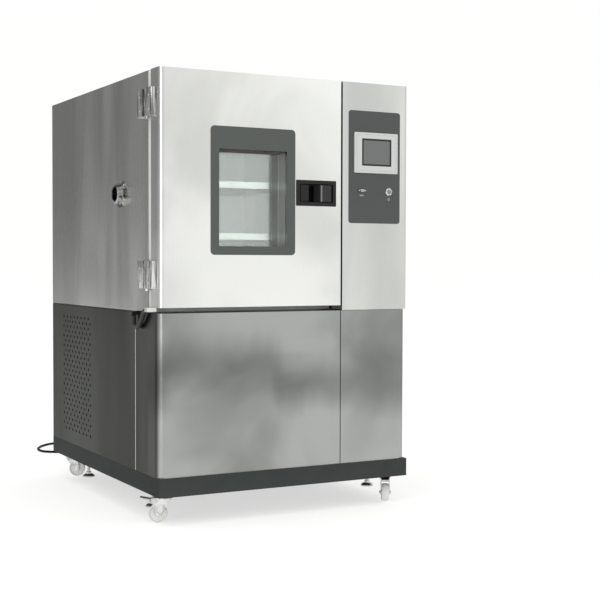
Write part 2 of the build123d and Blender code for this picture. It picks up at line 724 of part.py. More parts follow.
# Foam inside the door and its plug
with BuildPart() as door_insulation:
    with BuildSketch(Plane.XY.offset(door_bottom + sheet)):
        area((left + sheet, door_right - sheet), (front + sheet, door_back - sheet))
    extrude(amount=top - door_bottom - 2 * sheet)
    upright = door_insulation.edges().filter_by(Axis.Z).group_by(Axis.Y)[0].sort_by(Axis.X)
    fillet(upright[0], door_edge_radius - sheet)
    fillet(upright[-1], door_corner - sheet)
    with BuildSketch(front_plane(door_back - sheet)) as plug_fill:
        area(plug_fill_x, plug_fill_z, plug_radius - sheet)
    extrude(plug_fill.sketch, amount=-plug_depth)
    with BuildSketch(front_plane(front)) as tunnel_space:
        area(tunnel_x, tunnel_z)
    extrude(tunnel_space.sketch, amount=-(door_thickness + plug_depth), mode=Mode.SUBTRACT)
    block(handle_x, (front, front + handle_depth), handle_z, Mode.SUBTRACT)
    block(
        (latch_slot_x[0] - 2, latch_slot_x[1] + 2),
        (front + handle_depth, door_back),
        (latch_slot_z[0] - 14, latch_slot_z[1] + 14),
        Mode.SUBTRACT,
    )
write_piece(door_insulation, "door_insulation")

# Door gasket: a rounded ring of silicone on the door's back
gasket_width = 18
gasket_x = (left + 7, left + 624)
gasket_z = (door_bottom + 6, top - 8)
with BuildPart() as door_gasket:
    with BuildSketch(front_plane(door_back)):
        area(gasket_x, gasket_z, 12)
        area(
            (gasket_x[0] + gasket_width, gasket_x[1] - gasket_width),
            (gasket_z[0] + gasket_width, gasket_z[1] - gasket_width),
            4,
            mode=Mode.SUBTRACT,
        )
    extrude(amount=-gasket_thickness)
write_piece(door_gasket, "door_gasket")

# Window: outer frame plate, tunnel lining with seats, and three panes
pane = 5
pane_spots = (front + 4, front + 64, plug_back - 2 - pane)
with BuildPart() as window_frame:
    with BuildSketch(front_plane(front)):
        area(window_frame_x, window_frame_z, 14)
        area(window_x, window_z, 3, mode=Mode.SUBTRACT)
    extrude(amount=sheet)
    fillet(window_frame.edges().group_by(Axis.Y)[0], 0.8)
write_piece(window_frame, "window_frame")

with BuildPart() as window_tunnel:
    with BuildSketch(front_plane(front)):
        area(tunnel_x, tunnel_z)
        area(window_x, window_z, mode=Mode.SUBTRACT)
    extrude(amount=-(door_thickness + plug_depth))
write_piece(window_tunnel, "window_tunnel")

with BuildPart() as window_panes:
    for pane_y in pane_spots:
        block(window_x, (pane_y, pane_y + pane), window_z)
write_piece(window_panes, "window_panes")

# Handle: a moulded housing with a rim, a fixed block, a deep finger slot and room for the paddle
handle_inner_x = (handle_x[0] + handle_rim, handle_x[1] - handle_rim)
handle_inner_z = (handle_z[0] + handle_rim, handle_z[1] - handle_rim)
fixed_block = 35
finger_slot = 20
paddle_left = handle_inner_x[0] + fixed_block + finger_slot
paddle_thickness = 12
paddle_gap = 3
groove = 4
groove_depth = 10
paddle_pivot = (handle_inner_x[1] - paddle_thickness / 2 - paddle_gap, front + 4)
trunnion = 2.5
latch_pivot = (left + 643, front + 52)
latch_height = 16
latch_mid_z = (latch_slot_z[0] + latch_slot_z[1]) / 2
ear = 5
ear_gap = 2
with BuildPart() as handle_housing:
    with BuildSketch(front_plane(front - handle_proud)):
        area(handle_x, handle_z, 3)
    extrude(amount=-handle_proud)
    fillet(handle_housing.edges().group_by(Axis.Y)[0], 1.5)
    with BuildSketch(front_plane(front)) as body:
        area((handle_x[0] + 4, handle_x[1] - 4), (handle_z[0] + 4, handle_z[1] - 4))
    extrude(body.sketch, amount=-handle_depth)
    block(
        (handle_inner_x[0] + fixed_block, handle_inner_x[1]),
        (front - handle_proud, front + handle_depth - 3),
        handle_inner_z,
        Mode.SUBTRACT,
    )
    block_x = (handle_inner_x[0], handle_inner_x[0] + fixed_block)
    block(block_x, (front - handle_proud, front - 1), handle_inner_z, Mode.SUBTRACT)
    with BuildSketch(front_plane(front - 1)) as grooves:
        area(block_x, handle_inner_z)
        raised_z = (handle_inner_z[0] + groove, handle_inner_z[1] - groove)
        area((block_x[0] + groove, block_x[1]), raised_z, 2, Mode.SUBTRACT)
        area((block_x[1] - 3, block_x[1]), raised_z, 0, Mode.SUBTRACT)
    extrude(grooves.sketch, amount=-groove_depth, mode=Mode.SUBTRACT)
    bearing = handle_inner_z[0] - 5
    bearing_length = handle_inner_z[1] - handle_inner_z[0] + 10
    rod((*paddle_pivot, bearing), (0, 0, 1), trunnion + running_gap, bearing_length, Mode.SUBTRACT)
    for low in (latch_mid_z - latch_height / 2 - ear_gap - ear, latch_mid_z + latch_height / 2 + ear_gap):
        block(
            (latch_pivot[0] - 9, latch_pivot[0] + 9),
            (front + handle_depth - 1, latch_pivot[1] + 8),
            (low, low + ear),
        )
        rod((*latch_pivot, low), (0, 0, 1), 3 + running_gap, ear, Mode.SUBTRACT)
write_piece(handle_housing, "handle_housing")

with BuildPart() as handle_paddle:
    with BuildSketch(Plane.XY.offset(handle_inner_z[0] + paddle_gap)):
        area(
            (paddle_left + paddle_thickness / 2, paddle_pivot[0]),
            (paddle_pivot[1] - paddle_thickness / 2, paddle_pivot[1] + paddle_thickness / 2),
        )
        with Locations(paddle_pivot, (paddle_left + paddle_thickness / 2, paddle_pivot[1])):
            Circle(paddle_thickness / 2)
    extrude(amount=handle_inner_z[1] - handle_inner_z[0] - 2 * paddle_gap)
    trunnion_length = handle_inner_z[1] - handle_inner_z[0] + 8
    rod((*paddle_pivot, handle_inner_z[0] - 4), (0, 0, 1), trunnion, trunnion_length)
write_piece(handle_paddle, "handle_paddle")

# Latch lever: swings with the paddle and reaches through the inner panel into the keeper
latch_tip = jamb_front + 13
lip_face = keeper_x[1] - 2 * keeper_lip
with BuildPart() as latch_lever:
    with BuildSketch(Plane.XY.offset(latch_mid_z - latch_height / 2)):
        with Locations(latch_pivot):
            Circle(8)
        area((latch_pivot[0] + 2, lip_face - 0.6), (latch_pivot[1], latch_tip))
    extrude(amount=latch_height)
    fillet(latch_lever.edges().filter_by(Axis.Z).group_by(Axis.Y)[-1], 3)
    rod(
        (*latch_pivot, latch_mid_z - latch_height / 2 - ear_gap - ear), (0, 0, 1), 3,
        latch_height + 2 * (ear_gap + ear),
    )
write_piece(latch_lever, "latch_lever")

# Hinges: cabinet leaf with the lower knuckle and pin, door leaf with the upper knuckle
hinge_pin = (left - 9.5, front + 84)
hinge_block = 18
hinge_height = 90
hinge_spots = (base_top + 1174, base_top + 615)
knuckle_radius = 9.5
pin_radius = 4
with BuildPart() as hinge_body_leaves:
    for low in hinge_spots:
        middle = low + hinge_height / 2
        block((left - hinge_block, left), (front + 100, front + 154), (low, low + hinge_height))
        with BuildSketch(Plane.XY.offset(low)) as knuckle:
            area((left - 12.5, left - 1), (hinge_pin[1], front + 101))
            with Locations(hinge_pin):
                Circle(knuckle_radius)
        extrude(knuckle.sketch, amount=hinge_height / 2 - 0.3)
        rod((*hinge_pin, low - 8), (0, 0, 1), 5.5, 8)
    fillet(hinge_body_leaves.edges().filter_by(Axis.Z).group_by(Axis.Y)[-1].group_by(Axis.X)[0], 5)
    for low in hinge_spots:
        rod((*hinge_pin, low), (0, 0, 1), pin_radius, hinge_height + 1)
write_piece(hinge_body_leaves, "hinge_body_leaves")

with BuildPart() as hinge_door_leaves:
    for low in hinge_spots:
        block((left - hinge_block, left), (front + 26, front + 72), (low, low + hinge_height))
    fillet(hinge_door_leaves.edges().filter_by(Axis.Z).group_by(Axis.Y)[0].group_by(Axis.X)[0], 5)
    for low in hinge_spots:
        with BuildSketch(Plane.XY.offset(low + hinge_height / 2 + 0.3)) as knuckle:
            area((left - hinge_block, left - 1), (front + 71, hinge_pin[1]))
            with Locations(hinge_pin):
                Circle(knuckle_radius)
        extrude(knuckle.sketch, amount=hinge_height / 2 - 0.3)
        pin_bore = (*hinge_pin, low + hinge_height / 2)
        rod(pin_bore, (0, 0, 1), pin_radius + running_gap, hinge_height, Mode.SUBTRACT)
write_piece(hinge_door_leaves, "hinge_door_leaves")

# Control column: a tray with one rounded edge, and cut-outs for what is mounted in it
column_radius = 20
bezel_x = (left + 723, left + 900)
bezel_z = (base_top + 1013, base_top + 1154)
button_spot = (left + 866, base_top + 950)
serial_spot = (left + 755, base_top + 951.5)
button_barrel = 11
serial_body = (19, 9)
with BuildPart() as control_column_cover:
    with BuildSketch(Plane.XY.offset(split)):
        area((column_left, right), (front, body_front))
    extrude(amount=upper_height)
    upright = control_column_cover.edges().filter_by(Axis.Z).group_by(Axis.Y)[0].sort_by(Axis.X)
    fillet(upright[-1], column_radius)
    offset(amount=-sheet, openings=control_column_cover.faces().sort_by(Axis.Y)[-1])
    with BuildSketch(front_plane(front)) as cut_outs:
        area((bezel_x[0] + 8, bezel_x[1] - 8), (bezel_z[0] + 8, bezel_z[1] - 8))
        with Locations(button_spot):
            Circle(button_barrel)
        with Locations(serial_spot):
            Rectangle(*serial_body)
    extrude(cut_outs.sketch, amount=-sheet, mode=Mode.SUBTRACT)
write_piece(control_column_cover, "control_column_cover")

# Control fascia and what stands on it
fascia = 3
fascia_x = (left + 704, left + 912.5)
fascia_z = (base_top + 838, base_top + 1229)
with BuildPart() as control_fascia:
    with BuildSketch(front_plane(front)):
        area(fascia_x, fascia_z, 10)
        area((bezel_x[0] + 8, bezel_x[1] - 8), (bezel_z[0] + 8, bezel_z[1] - 8), mode=Mode.SUBTRACT)
        with Locations(button_spot):
            Circle(button_barrel, mode=Mode.SUBTRACT)
        with Locations(serial_spot):
            Rectangle(*serial_body, mode=Mode.SUBTRACT)
    extrude(amount=fascia)
    front_edges = control_fascia.edges().group_by(Axis.Y)[0].filter_by(GeomType.LINE)
    fillet(front_edges.group_by(SortBy.LENGTH)[-1], 1)
write_piece(control_fascia, "control_fascia")

screen_x = (left + 752, left + 873)
screen_z = (base_top + 1038, base_top + 1133)
bezel_thickness = 6
bezel_depth = 35
screen_glass = 3
border = 7
line_width = 1.4
with BuildPart() as touch_screen_bezel:
    with BuildSketch(front_plane(front - fascia)):
        area(bezel_x, bezel_z, 4)
    extrude(amount=bezel_thickness)
    fillet(touch_screen_bezel.edges().group_by(Axis.Y)[0], 2)
    with BuildSketch(front_plane(front - fascia - bezel_thickness)) as border_line:
        area((bezel_x[0] + border, bezel_x[1] - border), (bezel_z[0] + border, bezel_z[1] - border), 3)
        area(
            (bezel_x[0] + border + line_width, bezel_x[1] - border - line_width),
            (bezel_z[0] + border + line_width, bezel_z[1] - border - line_width),
            2,
            Mode.SUBTRACT,
        )
    extrude(border_line.sketch, amount=-0.8, mode=Mode.SUBTRACT)
    with BuildSketch(front_plane(front - fascia)) as rear_case:
        area((bezel_x[0] + 8, bezel_x[1] - 8), (bezel_z[0] + 8, bezel_z[1] - 8))
    extrude(rear_case.sketch, amount=-bezel_depth)
    with BuildSketch(front_plane(front - fascia - bezel_thickness)) as screen_seat:
        area(screen_x, screen_z, 2)
    extrude(screen_seat.sketch, amount=-screen_glass - 1, mode=Mode.SUBTRACT)
write_piece(touch_screen_bezel, "touch_screen_bezel")

with BuildPart() as touch_screen:
    with BuildSketch(front_plane(front - fascia - bezel_thickness + 1)):
        area(screen_x, screen_z, 2)
    extrude(amount=-screen_glass)
write_piece(touch_screen, "touch_screen")

button_radius = 8.5
nut_across = 25
nut_height = 2.2
collar_radius = 11
collar_height = 3.2
with BuildPart() as power_button_ring:
    with BuildSketch(front_plane(front - fascia)) as nut:
        with Locations(button_spot):
            RegularPolygon(nut_across / 2, 6, major_radius=False, rotation=12)
    extrude(nut.sketch, amount=nut_height)
    chamfer(power_button_ring.edges().group_by(Axis.Y)[0], 0.8)
    rod((button_spot[0], front - fascia, button_spot[1]), (0, -1, 0), collar_radius, collar_height)
    fillet(power_button_ring.edges().filter_by(GeomType.CIRCLE).sort_by(Axis.Y)[0], 0.8)
    rod((button_spot[0], front - fascia, button_spot[1]), (0, 1, 0), button_barrel, 27)
    rod(
        (button_spot[0], front - fascia - collar_height, button_spot[1]),
        (0, 1, 0),
        button_radius + 0.1,
        collar_height + 23,
        Mode.SUBTRACT,
    )
write_piece(power_button_ring, "power_button_ring")

with BuildPart() as power_button:
    rod((button_spot[0], front - fascia - 3.6, button_spot[1]), (0, 1, 0), button_radius, 18)
    fillet(power_button.edges().filter_by(GeomType.CIRCLE).sort_by(Axis.Y)[0], 0.8)
write_piece(power_button, "power_button")

# Serial connector: flange with two jack posts, D-shaped shell and body
with BuildPart() as serial_port:
    with BuildSketch(front_plane(front - fascia)) as flange:
        with Locations(serial_spot):
            RectangleRounded(31, 12.5, 1.5)
    extrude(flange.sketch, amount=0.8)
    with BuildSketch(front_plane(front - fascia)) as shell:
        with Locations(serial_spot):
            Trapezoid(17, 8.3, 80, align=(Align.CENTER, Align.CENTER), rotation=180)
    extrude(shell.sketch, amount=6)
    with BuildSketch(front_plane(front - fascia)) as rear_body:
        with Locations(serial_spot):
            Rectangle(*serial_body)
    extrude(rear_body.sketch, amount=-12)
    for side in (-1, 1):
        with BuildSketch(front_plane(front - fascia)) as post:
            with Locations((serial_spot[0] + side * 12.5, serial_spot[1])):
                RegularPolygon(2.8, 6)
        extrude(post.sketch, amount=5)
write_piece(serial_port, "serial_port")

# Rubber conduit that carries the door's wires round the hinge line
conduit_points = [
    (conduit_x, front + 72.2, split + 9),
    (conduit_x, front + 100, split + 9),
    (conduit_x, front + 126, split - 26),
    (conduit_x, front + 160, split - 52),
    (conduit_x, front + 192, split - 48),
    (conduit_x, front + 200, split - 34),
    (conduit_x, front + 200, split - 11.2),
]


def swept_cord(points, radius, share=0.45):
    """Tube along straight runs that tangent arcs join, each arc as large as its shorter run allows."""
    corners = [Vector(*point) for point in points]
    radii = []
    for before, here, after in zip(corners, corners[1:], corners[2:]):
        turn = math.radians((here - before).get_angle(after - here))
        shorter = min((here - before).length, (after - here).length)
        radii.append(share * shorter / math.tan(turn / 2))
    with BuildLine() as route:
        FilletPolyline(*corners, radius=radii)
    with BuildSketch(Plane(origin=corners[0], z_dir=corners[1] - corners[0])) as section:
        Circle(radius)
    sweep(section.sketch, path=route.wires()[0])
    print("smallest radius", round(min(radii), 1), "length", round(route.wires()[0].length, 1))
    print("radii", [round(value) for value in radii])
    return math.pi * radius**2 * route.wires()[0].length


with BuildPart() as door_conduit:
    expected = swept_cord(conduit_points, conduit_radius)
print("conduit volume", round(door_conduit.part.volume), "expected", round(expected))
write_piece(door_conduit, "door_conduit")

# Mains cord: gland, tube on the floor, coil and plug
cord_radius = 5.25
cord_floor = cord_radius + 0.05
gland_reach = 28
with BuildPart() as mains_gland:
    rod((gland_x, back - sheet - 10, gland_z), (0, 1, 0), gland_hole, 12)
    with BuildSketch(front_plane(back)) as nut:
        with Locations((gland_x, gland_z)):
            RegularPolygon(15, 6)
    extrude(nut.sketch, amount=-9)
    with BuildSketch(front_plane(back + 9)):
        with Locations((gland_x, gland_z)):
            Circle(12)
    with BuildSketch(front_plane(back + gland_reach)):
        with Locations((gland_x, gland_z)):
            Circle(7)
    loft()
write_piece(mains_gland, "mains_gland")

coil_middle = (-110, 800)
coil_radius = 59
coil_end = 62
coil_low = cord_floor
coil_high = cord_floor + 2 * cord_radius
cord_points = [
    (gland_x, back + gland_reach, gland_z),
    (gland_x, back + 78, gland_z),
    (gland_x + 12, back + 124, gland_z - 48),
    (gland_x + 26, back + 152, gland_z - 112),
    (gland_x + 44, back + 196, gland_z - 168),
    (gland_x + 66, back + 262, cord_floor),
    (gland_x + 92, back + 378, cord_floor),
    (gland_x + 96, back + 500, cord_floor),
    (gland_x + 66, back + 622, cord_floor),
    (gland_x - 4, back + 724, cord_floor),
    (gland_x - 92, back + 792, cord_floor),
    (gland_x - 190, back + 790, cord_floor),
    (gland_x - 262, back + 724, cord_floor),
    (gland_x - 302, back + 640, cord_floor),
    (gland_x - 298, back + 562, cord_floor),
    (gland_x - 240, back + 520, cord_floor),
    (gland_x - 176, back + 478, cord_floor),
    (gland_x - 140, back + 412, cord_floor),
    (gland_x - 127, back + 346, cord_floor),
    (coil_middle[0] - coil_radius, coil_middle[1] + coil_end, cord_floor),
]
with BuildPart() as mains_cord:
    expected = swept_cord(cord_points, cord_radius)
print("cord volume", round(mains_cord.part.volume), "expected", round(expected))
write_piece(mains_cord, "mains_cord")

cord_heading = (Vector(*cord_points[-1]) - Vector(*cord_points[-2])).normalized()
with BuildPart() as mains_cord_coil:
    with BuildSketch(Plane.XY.offset(0.02)):
        with Locations(coil_middle):
            Circle(coil_radius + 2 * cord_radius)
            Circle(coil_radius - 2 * cord_radius, mode=Mode.SUBTRACT)
    extrude(amount=4 * cord_radius + 0.1)
    rod(cord_points[-1], tuple(cord_heading), cord_radius, coil_end)
    rod((coil_middle[0] + coil_radius, coil_middle[1], coil_high), (0, 1, 0), cord_radius, coil_end)
write_piece(mains_cord_coil, "mains_cord_coil")

plug_start = (coil_middle[0] + coil_radius, coil_middle[1] + coil_end)
with BuildPart() as mains_plug:
    with BuildSketch(front_plane(plug_start[1])):
        with Locations((plug_start[0], coil_high)):
            Circle(6.5)
    with BuildSketch(front_plane(plug_start[1] + 30)):
        with Locations((plug_start[0], coil_high)):
            Circle(11)
    loft()
    with BuildSketch(front_plane(plug_start[1] + 30)) as plug_body:
        with Locations((plug_start[0], coil_high)):
            RectangleRounded(40, 31, 10)
    extrude(plug_body.sketch, amount=-42)
    for side in (-9.5, 9.5):
        rod((plug_start[0] + side, plug_start[1] + 72, coil_high), (0, 1, 0), 2.4, 19)
write_piece(mains_plug, "mains_plug")
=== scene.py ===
import bmesh
import bpy
import math
from mathutils import Matrix, Vector


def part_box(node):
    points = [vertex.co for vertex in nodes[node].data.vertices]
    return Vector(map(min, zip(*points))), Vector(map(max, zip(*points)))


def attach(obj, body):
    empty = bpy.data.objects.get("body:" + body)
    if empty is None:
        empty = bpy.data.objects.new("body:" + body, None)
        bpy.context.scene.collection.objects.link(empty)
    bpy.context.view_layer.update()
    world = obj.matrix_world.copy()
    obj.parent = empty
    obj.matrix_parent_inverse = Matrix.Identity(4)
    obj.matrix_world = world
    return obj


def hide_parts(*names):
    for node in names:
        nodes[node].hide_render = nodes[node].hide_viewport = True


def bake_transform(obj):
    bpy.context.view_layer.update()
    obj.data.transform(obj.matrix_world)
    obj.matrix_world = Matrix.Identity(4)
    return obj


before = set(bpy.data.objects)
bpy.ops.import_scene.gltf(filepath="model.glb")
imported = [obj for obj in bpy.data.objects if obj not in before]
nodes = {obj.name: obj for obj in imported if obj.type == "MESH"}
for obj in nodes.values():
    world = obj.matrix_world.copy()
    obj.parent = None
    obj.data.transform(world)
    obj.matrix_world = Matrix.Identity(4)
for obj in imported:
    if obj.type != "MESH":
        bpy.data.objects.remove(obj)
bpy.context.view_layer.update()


# Camera, light and floor
# The camera stands to the front left of the cabinet, a little above the middle of its door, and
# looks almost level. The floor is plain and pale, under soft studio light.
azimuth = math.radians(28.434)
tilt = math.radians(1.780)
roll = math.radians(0.138)
camera_spot = (-1.93915, -4.24467, 0.85978)
looking = Vector(
    (math.sin(azimuth) * math.cos(tilt), math.cos(azimuth) * math.cos(tilt), -math.sin(tilt))
)
level_right = Vector((math.cos(azimuth), -math.sin(azimuth), 0))
level_up = level_right.cross(looking)
image_right = math.cos(roll) * level_right + math.sin(roll) * level_up
image_up = image_right.cross(looking)
camera_data = bpy.data.cameras.new("camera")
camera_data.lens = 73.68
camera_data.sensor_width = 36
camera = bpy.data.objects.new("camera", camera_data)
camera.matrix_world = Matrix.Translation(camera_spot) @ Matrix(
    (image_right, image_up, -looking)
).transposed().to_4x4()
bpy.context.scene.collection.objects.link(camera)
bpy.context.scene.camera = camera
bpy.context.scene.view_settings.view_transform = "Standard"


def softbox(name, place, target, width, height, power, tint=(1, 1, 1)):
    """Large soft lamp at a place that shines at a target."""
    data = bpy.data.lights.new(name, "AREA")
    data.shape = "RECTANGLE"
    data.size = width
    data.size_y = height
    data.energy = power
    data.color = tint
    turn = (Vector(target) - Vector(place)).to_track_quat("-Z", "Y").to_matrix().to_4x4()
    lamp = bpy.data.objects.new(name, data)
    lamp.matrix_world = Matrix.Translation(place) @ turn
    bpy.context.scene.collection.objects.link(lamp)


softbox("key", (3.4, -4.6, 2.6), (0.1, -0.4, 0.85), 2.4, 2.4, 4)
softbox("edge", (-3.4, -2.6, 1.5), (-0.45, -0.5, 0.9), 0.35, 2.6, 22)
softbox("overhead", (-0.3, -0.4, 4.6), (0, 0, 0.8), 5.0, 5.0, 60)


def node(tree, kind, values=(), **settings):
    """New node with some of its settings made and values on some of its inputs."""
    made = tree.nodes.new(kind)
    for label, value in settings.items():
        setattr(made, label, value)
    for socket, value in dict(values).items():
        made.inputs[socket].default_value = value
    return made


# The room is brighter towards the front right, and uneven, as reflections in the sheet show it.
# It lights matt surfaces evenly, and the camera sees it white.
world = bpy.data.worlds.new("studio")
bpy.context.scene.world = world
world.use_nodes = True
studio = world.node_tree
studio.nodes.clear()
bright_side = (0.80, -0.58, 0.10)
direction = node(studio, "ShaderNodeTexCoord")
facing = node(studio, "ShaderNodeVectorMath", {1: bright_side}, operation="DOT_PRODUCT")
brightness = node(
    studio,
    "ShaderNodeMapRange",
    {"From Min": -0.75, "From Max": 0.55, "To Min": 0.36, "To Max": 0.96},
    interpolation_type="SMOOTHSTEP",
)
room = node(studio, "ShaderNodeTexNoise", {"Scale": 2.3, "Detail": 2.0})
unevenness = node(
    studio, "ShaderNodeMapRange", {"From Min": 0.32, "From Max": 0.62, "To Min": 0.72, "To Max": 1.0}
)
modelled = node(studio, "ShaderNodeMath", operation="MULTIPLY")
ray = node(studio, "ShaderNodeLightPath")
lighting = node(studio, "ShaderNodeMix", {3: 1.02})
choice = node(studio, "ShaderNodeMix", {3: 1.0})
surround = node(studio, "ShaderNodeBackground", {"Color": (1.0, 1.0, 0.995, 1)})
output = node(studio, "ShaderNodeOutputWorld")
for source, target in (
    (direction.outputs["Generated"], facing.inputs[0]),
    (facing.outputs["Value"], brightness.inputs["Value"]),
    (direction.outputs["Generated"], room.inputs["Vector"]),
    (room.outputs["Fac"], unevenness.inputs["Value"]),
    (brightness.outputs["Result"], modelled.inputs[0]),
    (unevenness.outputs["Result"], modelled.inputs[1]),
    (modelled.outputs["Value"], lighting.inputs[2]),
    (ray.outputs["Is Diffuse Ray"], lighting.inputs[0]),
    (lighting.outputs[0], choice.inputs[2]),
    (ray.outputs["Is Camera Ray"], choice.inputs[0]),
    (choice.outputs[0], surround.inputs["Strength"]),
    (surround.outputs["Background"], output.inputs["Surface"]),
):
    studio.links.new(source, target)


def mesh_piece(name, points, faces, material=None):
    """Object at the origin from points and faces."""
    mesh = bpy.data.meshes.new(name)
    mesh.from_pydata([tuple(point) for point in points], [], faces)
    mesh.update()
    piece = bpy.data.objects.new(name, mesh)
    bpy.context.scene.collection.objects.link(piece)
    if material:
        mesh.materials.append(material)
    return piece


def blank_material(name, **values):
    """Material with one Principled BSDF, with its tree and its shader."""
    material = bpy.data.materials.new(name)
    material.use_nodes = True
    shader = material.node_tree.nodes["Principled BSDF"]
    for label, value in values.items():
        shader.inputs[label.replace("_", " ")].default_value = value
    return material, material.node_tree, shader


floor_material, tree, shader = blank_material(
    "studio_floor",
    Base_Color=(0.42, 0.42, 0.415, 1),
    Emission_Color=(1.0, 1.0, 0.995, 1),
    Emission_Strength=0.62,
    Roughness=1.0,
    Specular_IOR_Level=0.0,
)
reach, drop = 40, -0.0004
floor_corners = [(x * reach, y * reach, drop) for x, y in ((-1, -1), (1, -1), (1, 1), (-1, 1))]
floor = mesh_piece("floor", floor_corners, [(0, 1, 2, 3)], floor_material)


# Plinth
# A folded steel frame, powder coated charcoal, that carries the cabinet and its casters. Its
# lower edge is dusty from the workshop floor.
def effect(name, inputs, outputs):
    """Empty shader node group with named inputs and outputs."""
    group = bpy.data.node_groups.new(name, "ShaderNodeTree")
    for label, kind, value in inputs:
        socket = group.interface.new_socket(label, in_out="INPUT", socket_type=kind)
        socket.default_value = value
    for label, kind in outputs:
        group.interface.new_socket(label, in_out="OUTPUT", socket_type=kind)
    return group, node(group, "NodeGroupInput"), node(group, "NodeGroupOutput")


def coordinate(tree, axis, reading="Object"):
    """One coordinate of a surface's points, or of its normals."""
    place = node(tree, "ShaderNodeTexCoord")
    parts = node(tree, "ShaderNodeSeparateXYZ")
    tree.links.new(place.outputs[reading], parts.inputs["Vector"])
    return parts.outputs[axis]


pebble, entry, leave = effect(
    "moulded_pebble",
    [("Size", "NodeSocketFloat", 900.0)],
    [("Height", "NodeSocketFloat"), ("Mask", "NodeSocketFloat")],
)
place = node(pebble, "ShaderNodeTexCoord")
cells = node(pebble, "ShaderNodeTexVoronoi", feature="SMOOTH_F1")
drift = node(pebble, "ShaderNodeTexNoise", {"Scale": 14.0, "Detail": 5.0})
pebble.links.new(place.outputs["Object"], cells.inputs["Vector"])
pebble.links.new(entry.outputs["Size"], cells.inputs["Scale"])
pebble.links.new(place.outputs["Object"], drift.inputs["Vector"])
pebble.links.new(cells.outputs["Distance"], leave.inputs["Height"])
pebble.links.new(drift.outputs["Fac"], leave.inputs["Mask"])

dust, entry, leave = effect(
    "settled_dust",
    [("Top", "NodeSocketFloat", 0.14), ("Amount", "NodeSocketFloat", 0.5)],
    [("Mask", "NodeSocketFloat")],
)
place = node(dust, "ShaderNodeTexCoord")
fade = node(dust, "ShaderNodeMapRange", {"To Min": 1.0, "To Max": 0.0})
flecks = node(dust, "ShaderNodeTexNoise", {"Scale": 60.0, "Detail": 6.0})
strength = node(dust, "ShaderNodeMath", operation="MULTIPLY")
patchy = node(dust, "ShaderNodeMath", operation="MULTIPLY", use_clamp=True)
dust.links.new(coordinate(dust, "Z"), fade.inputs["Value"])
dust.links.new(entry.outputs["Top"], fade.inputs["From Max"])
dust.links.new(place.outputs["Object"], flecks.inputs["Vector"])
dust.links.new(fade.outputs["Result"], strength.inputs[0])
dust.links.new(entry.outputs["Amount"], strength.inputs[1])
dust.links.new(strength.outputs["Value"], patchy.inputs[0])
dust.links.new(flecks.outputs["Fac"], patchy.inputs[1])
dust.links.new(patchy.outputs["Value"], leave.inputs["Mask"])


def use_effect(tree, group, **values):
    """Places a shared effect in a material with its own values."""
    placed = tree.nodes.new("ShaderNodeGroup")
    placed.node_tree = group
    for label, value in values.items():
        placed.inputs[label].default_value = value
    return placed


def blend_colours(tree, mask, first, second, blend_type="MIX"):
    """Colour between two by a mask. Each is a value or a socket, and the mask a share or a socket."""
    mix = node(tree, "ShaderNodeMix", data_type="RGBA", blend_type=blend_type)
    for number, source in ((0, mask), (6, first), (7, second)):
        if isinstance(source, tuple):
            mix.inputs[number].default_value = (*source, 1)
        elif isinstance(source, float):
            mix.inputs[number].default_value = source
        else:
            tree.links.new(source, mix.inputs[number])
    return mix.outputs[2]


def spread_value(tree, mask, low, high):
    """Number between two values by a mask."""
    span = node(tree, "ShaderNodeMapRange", {"To Min": low, "To Max": high})
    tree.links.new(mask, span.inputs["Value"])
    return span.outputs["Result"]


def dress(tree, shader, colour, roughness):
    """Joins a colour and a roughness to a shader."""
    tree.links.new(colour, shader.inputs["Base Color"])
    tree.links.new(roughness, shader.inputs["Roughness"])


def raised(tree, shader, height, strength, distance):
    """Bump from a height."""
    bump = node(tree, "ShaderNodeBump", {"Strength": strength, "Distance": distance})
    tree.links.new(height, bump.inputs["Height"])
    tree.links.new(bump.outputs["Normal"], shader.inputs["Normal"])


def dim(material, share):
    """Scales a finish's colour by a socket's value."""
    tree = material.node_tree
    colour = tree.nodes["Principled BSDF"].inputs["Base Color"]
    dimmed = node(tree, "ShaderNodeVectorMath", operation="SCALE")
    tree.links.new(colour.links[0].from_socket, dimmed.inputs[0])
    tree.links.new(share, dimmed.inputs["Scale"])
    tree.links.new(dimmed.outputs["Vector"], colour)


def paint_flank_shade(material, share, tint):
    """Paints shade into a sheet's colour where it faces left, towards the dim side of the room, and
    sets the tint of its reflections.
    """
    tree = material.node_tree
    turned = node(
        tree,
        "ShaderNodeMapRange",
        {"From Min": -0.75, "From Max": -0.985, "To Min": 1.0, "To Max": share},
        interpolation_type="SMOOTHSTEP",
    )
    tree.links.new(coordinate(tree, "X", "Normal"), turned.inputs["Value"])
    dim(material, turned.outputs["Result"])
    tree.nodes["Principled BSDF"].inputs["Specular Tint"].default_value = tint


def coat(material, *names):
    """Gives CAD pieces their finish."""
    for name in names:
        slots = nodes[name].data.materials
        if not slots:
            slots.append(material)
        for number in range(len(slots)):
            slots[number] = material


plinth_paint, tree, shader = blank_material("plinth_powder_coat", Specular_IOR_Level=0.06)
skin = use_effect(tree, pebble, Size=1400.0)
film = use_effect(tree, dust, Top=0.15, Amount=0.45)
base = blend_colours(tree, skin.outputs["Mask"], (0.036, 0.041, 0.040), (0.048, 0.054, 0.052))
dusty = blend_colours(tree, film.outputs["Mask"], base, (0.10, 0.10, 0.097))
dress(tree, shader, dusty, spread_value(tree, skin.outputs["Mask"], 0.42, 0.58))
raised(tree, shader, skin.outputs["Height"], 0.25, 0.0003)
# Painted shade: the plinth's left-facing faces are darkened, and their reflections dimmed.
paint_flank_shade(plinth_paint, 0.5, (0.6, 0.6, 0.6, 1))
coat(plinth_paint, "base_frame")

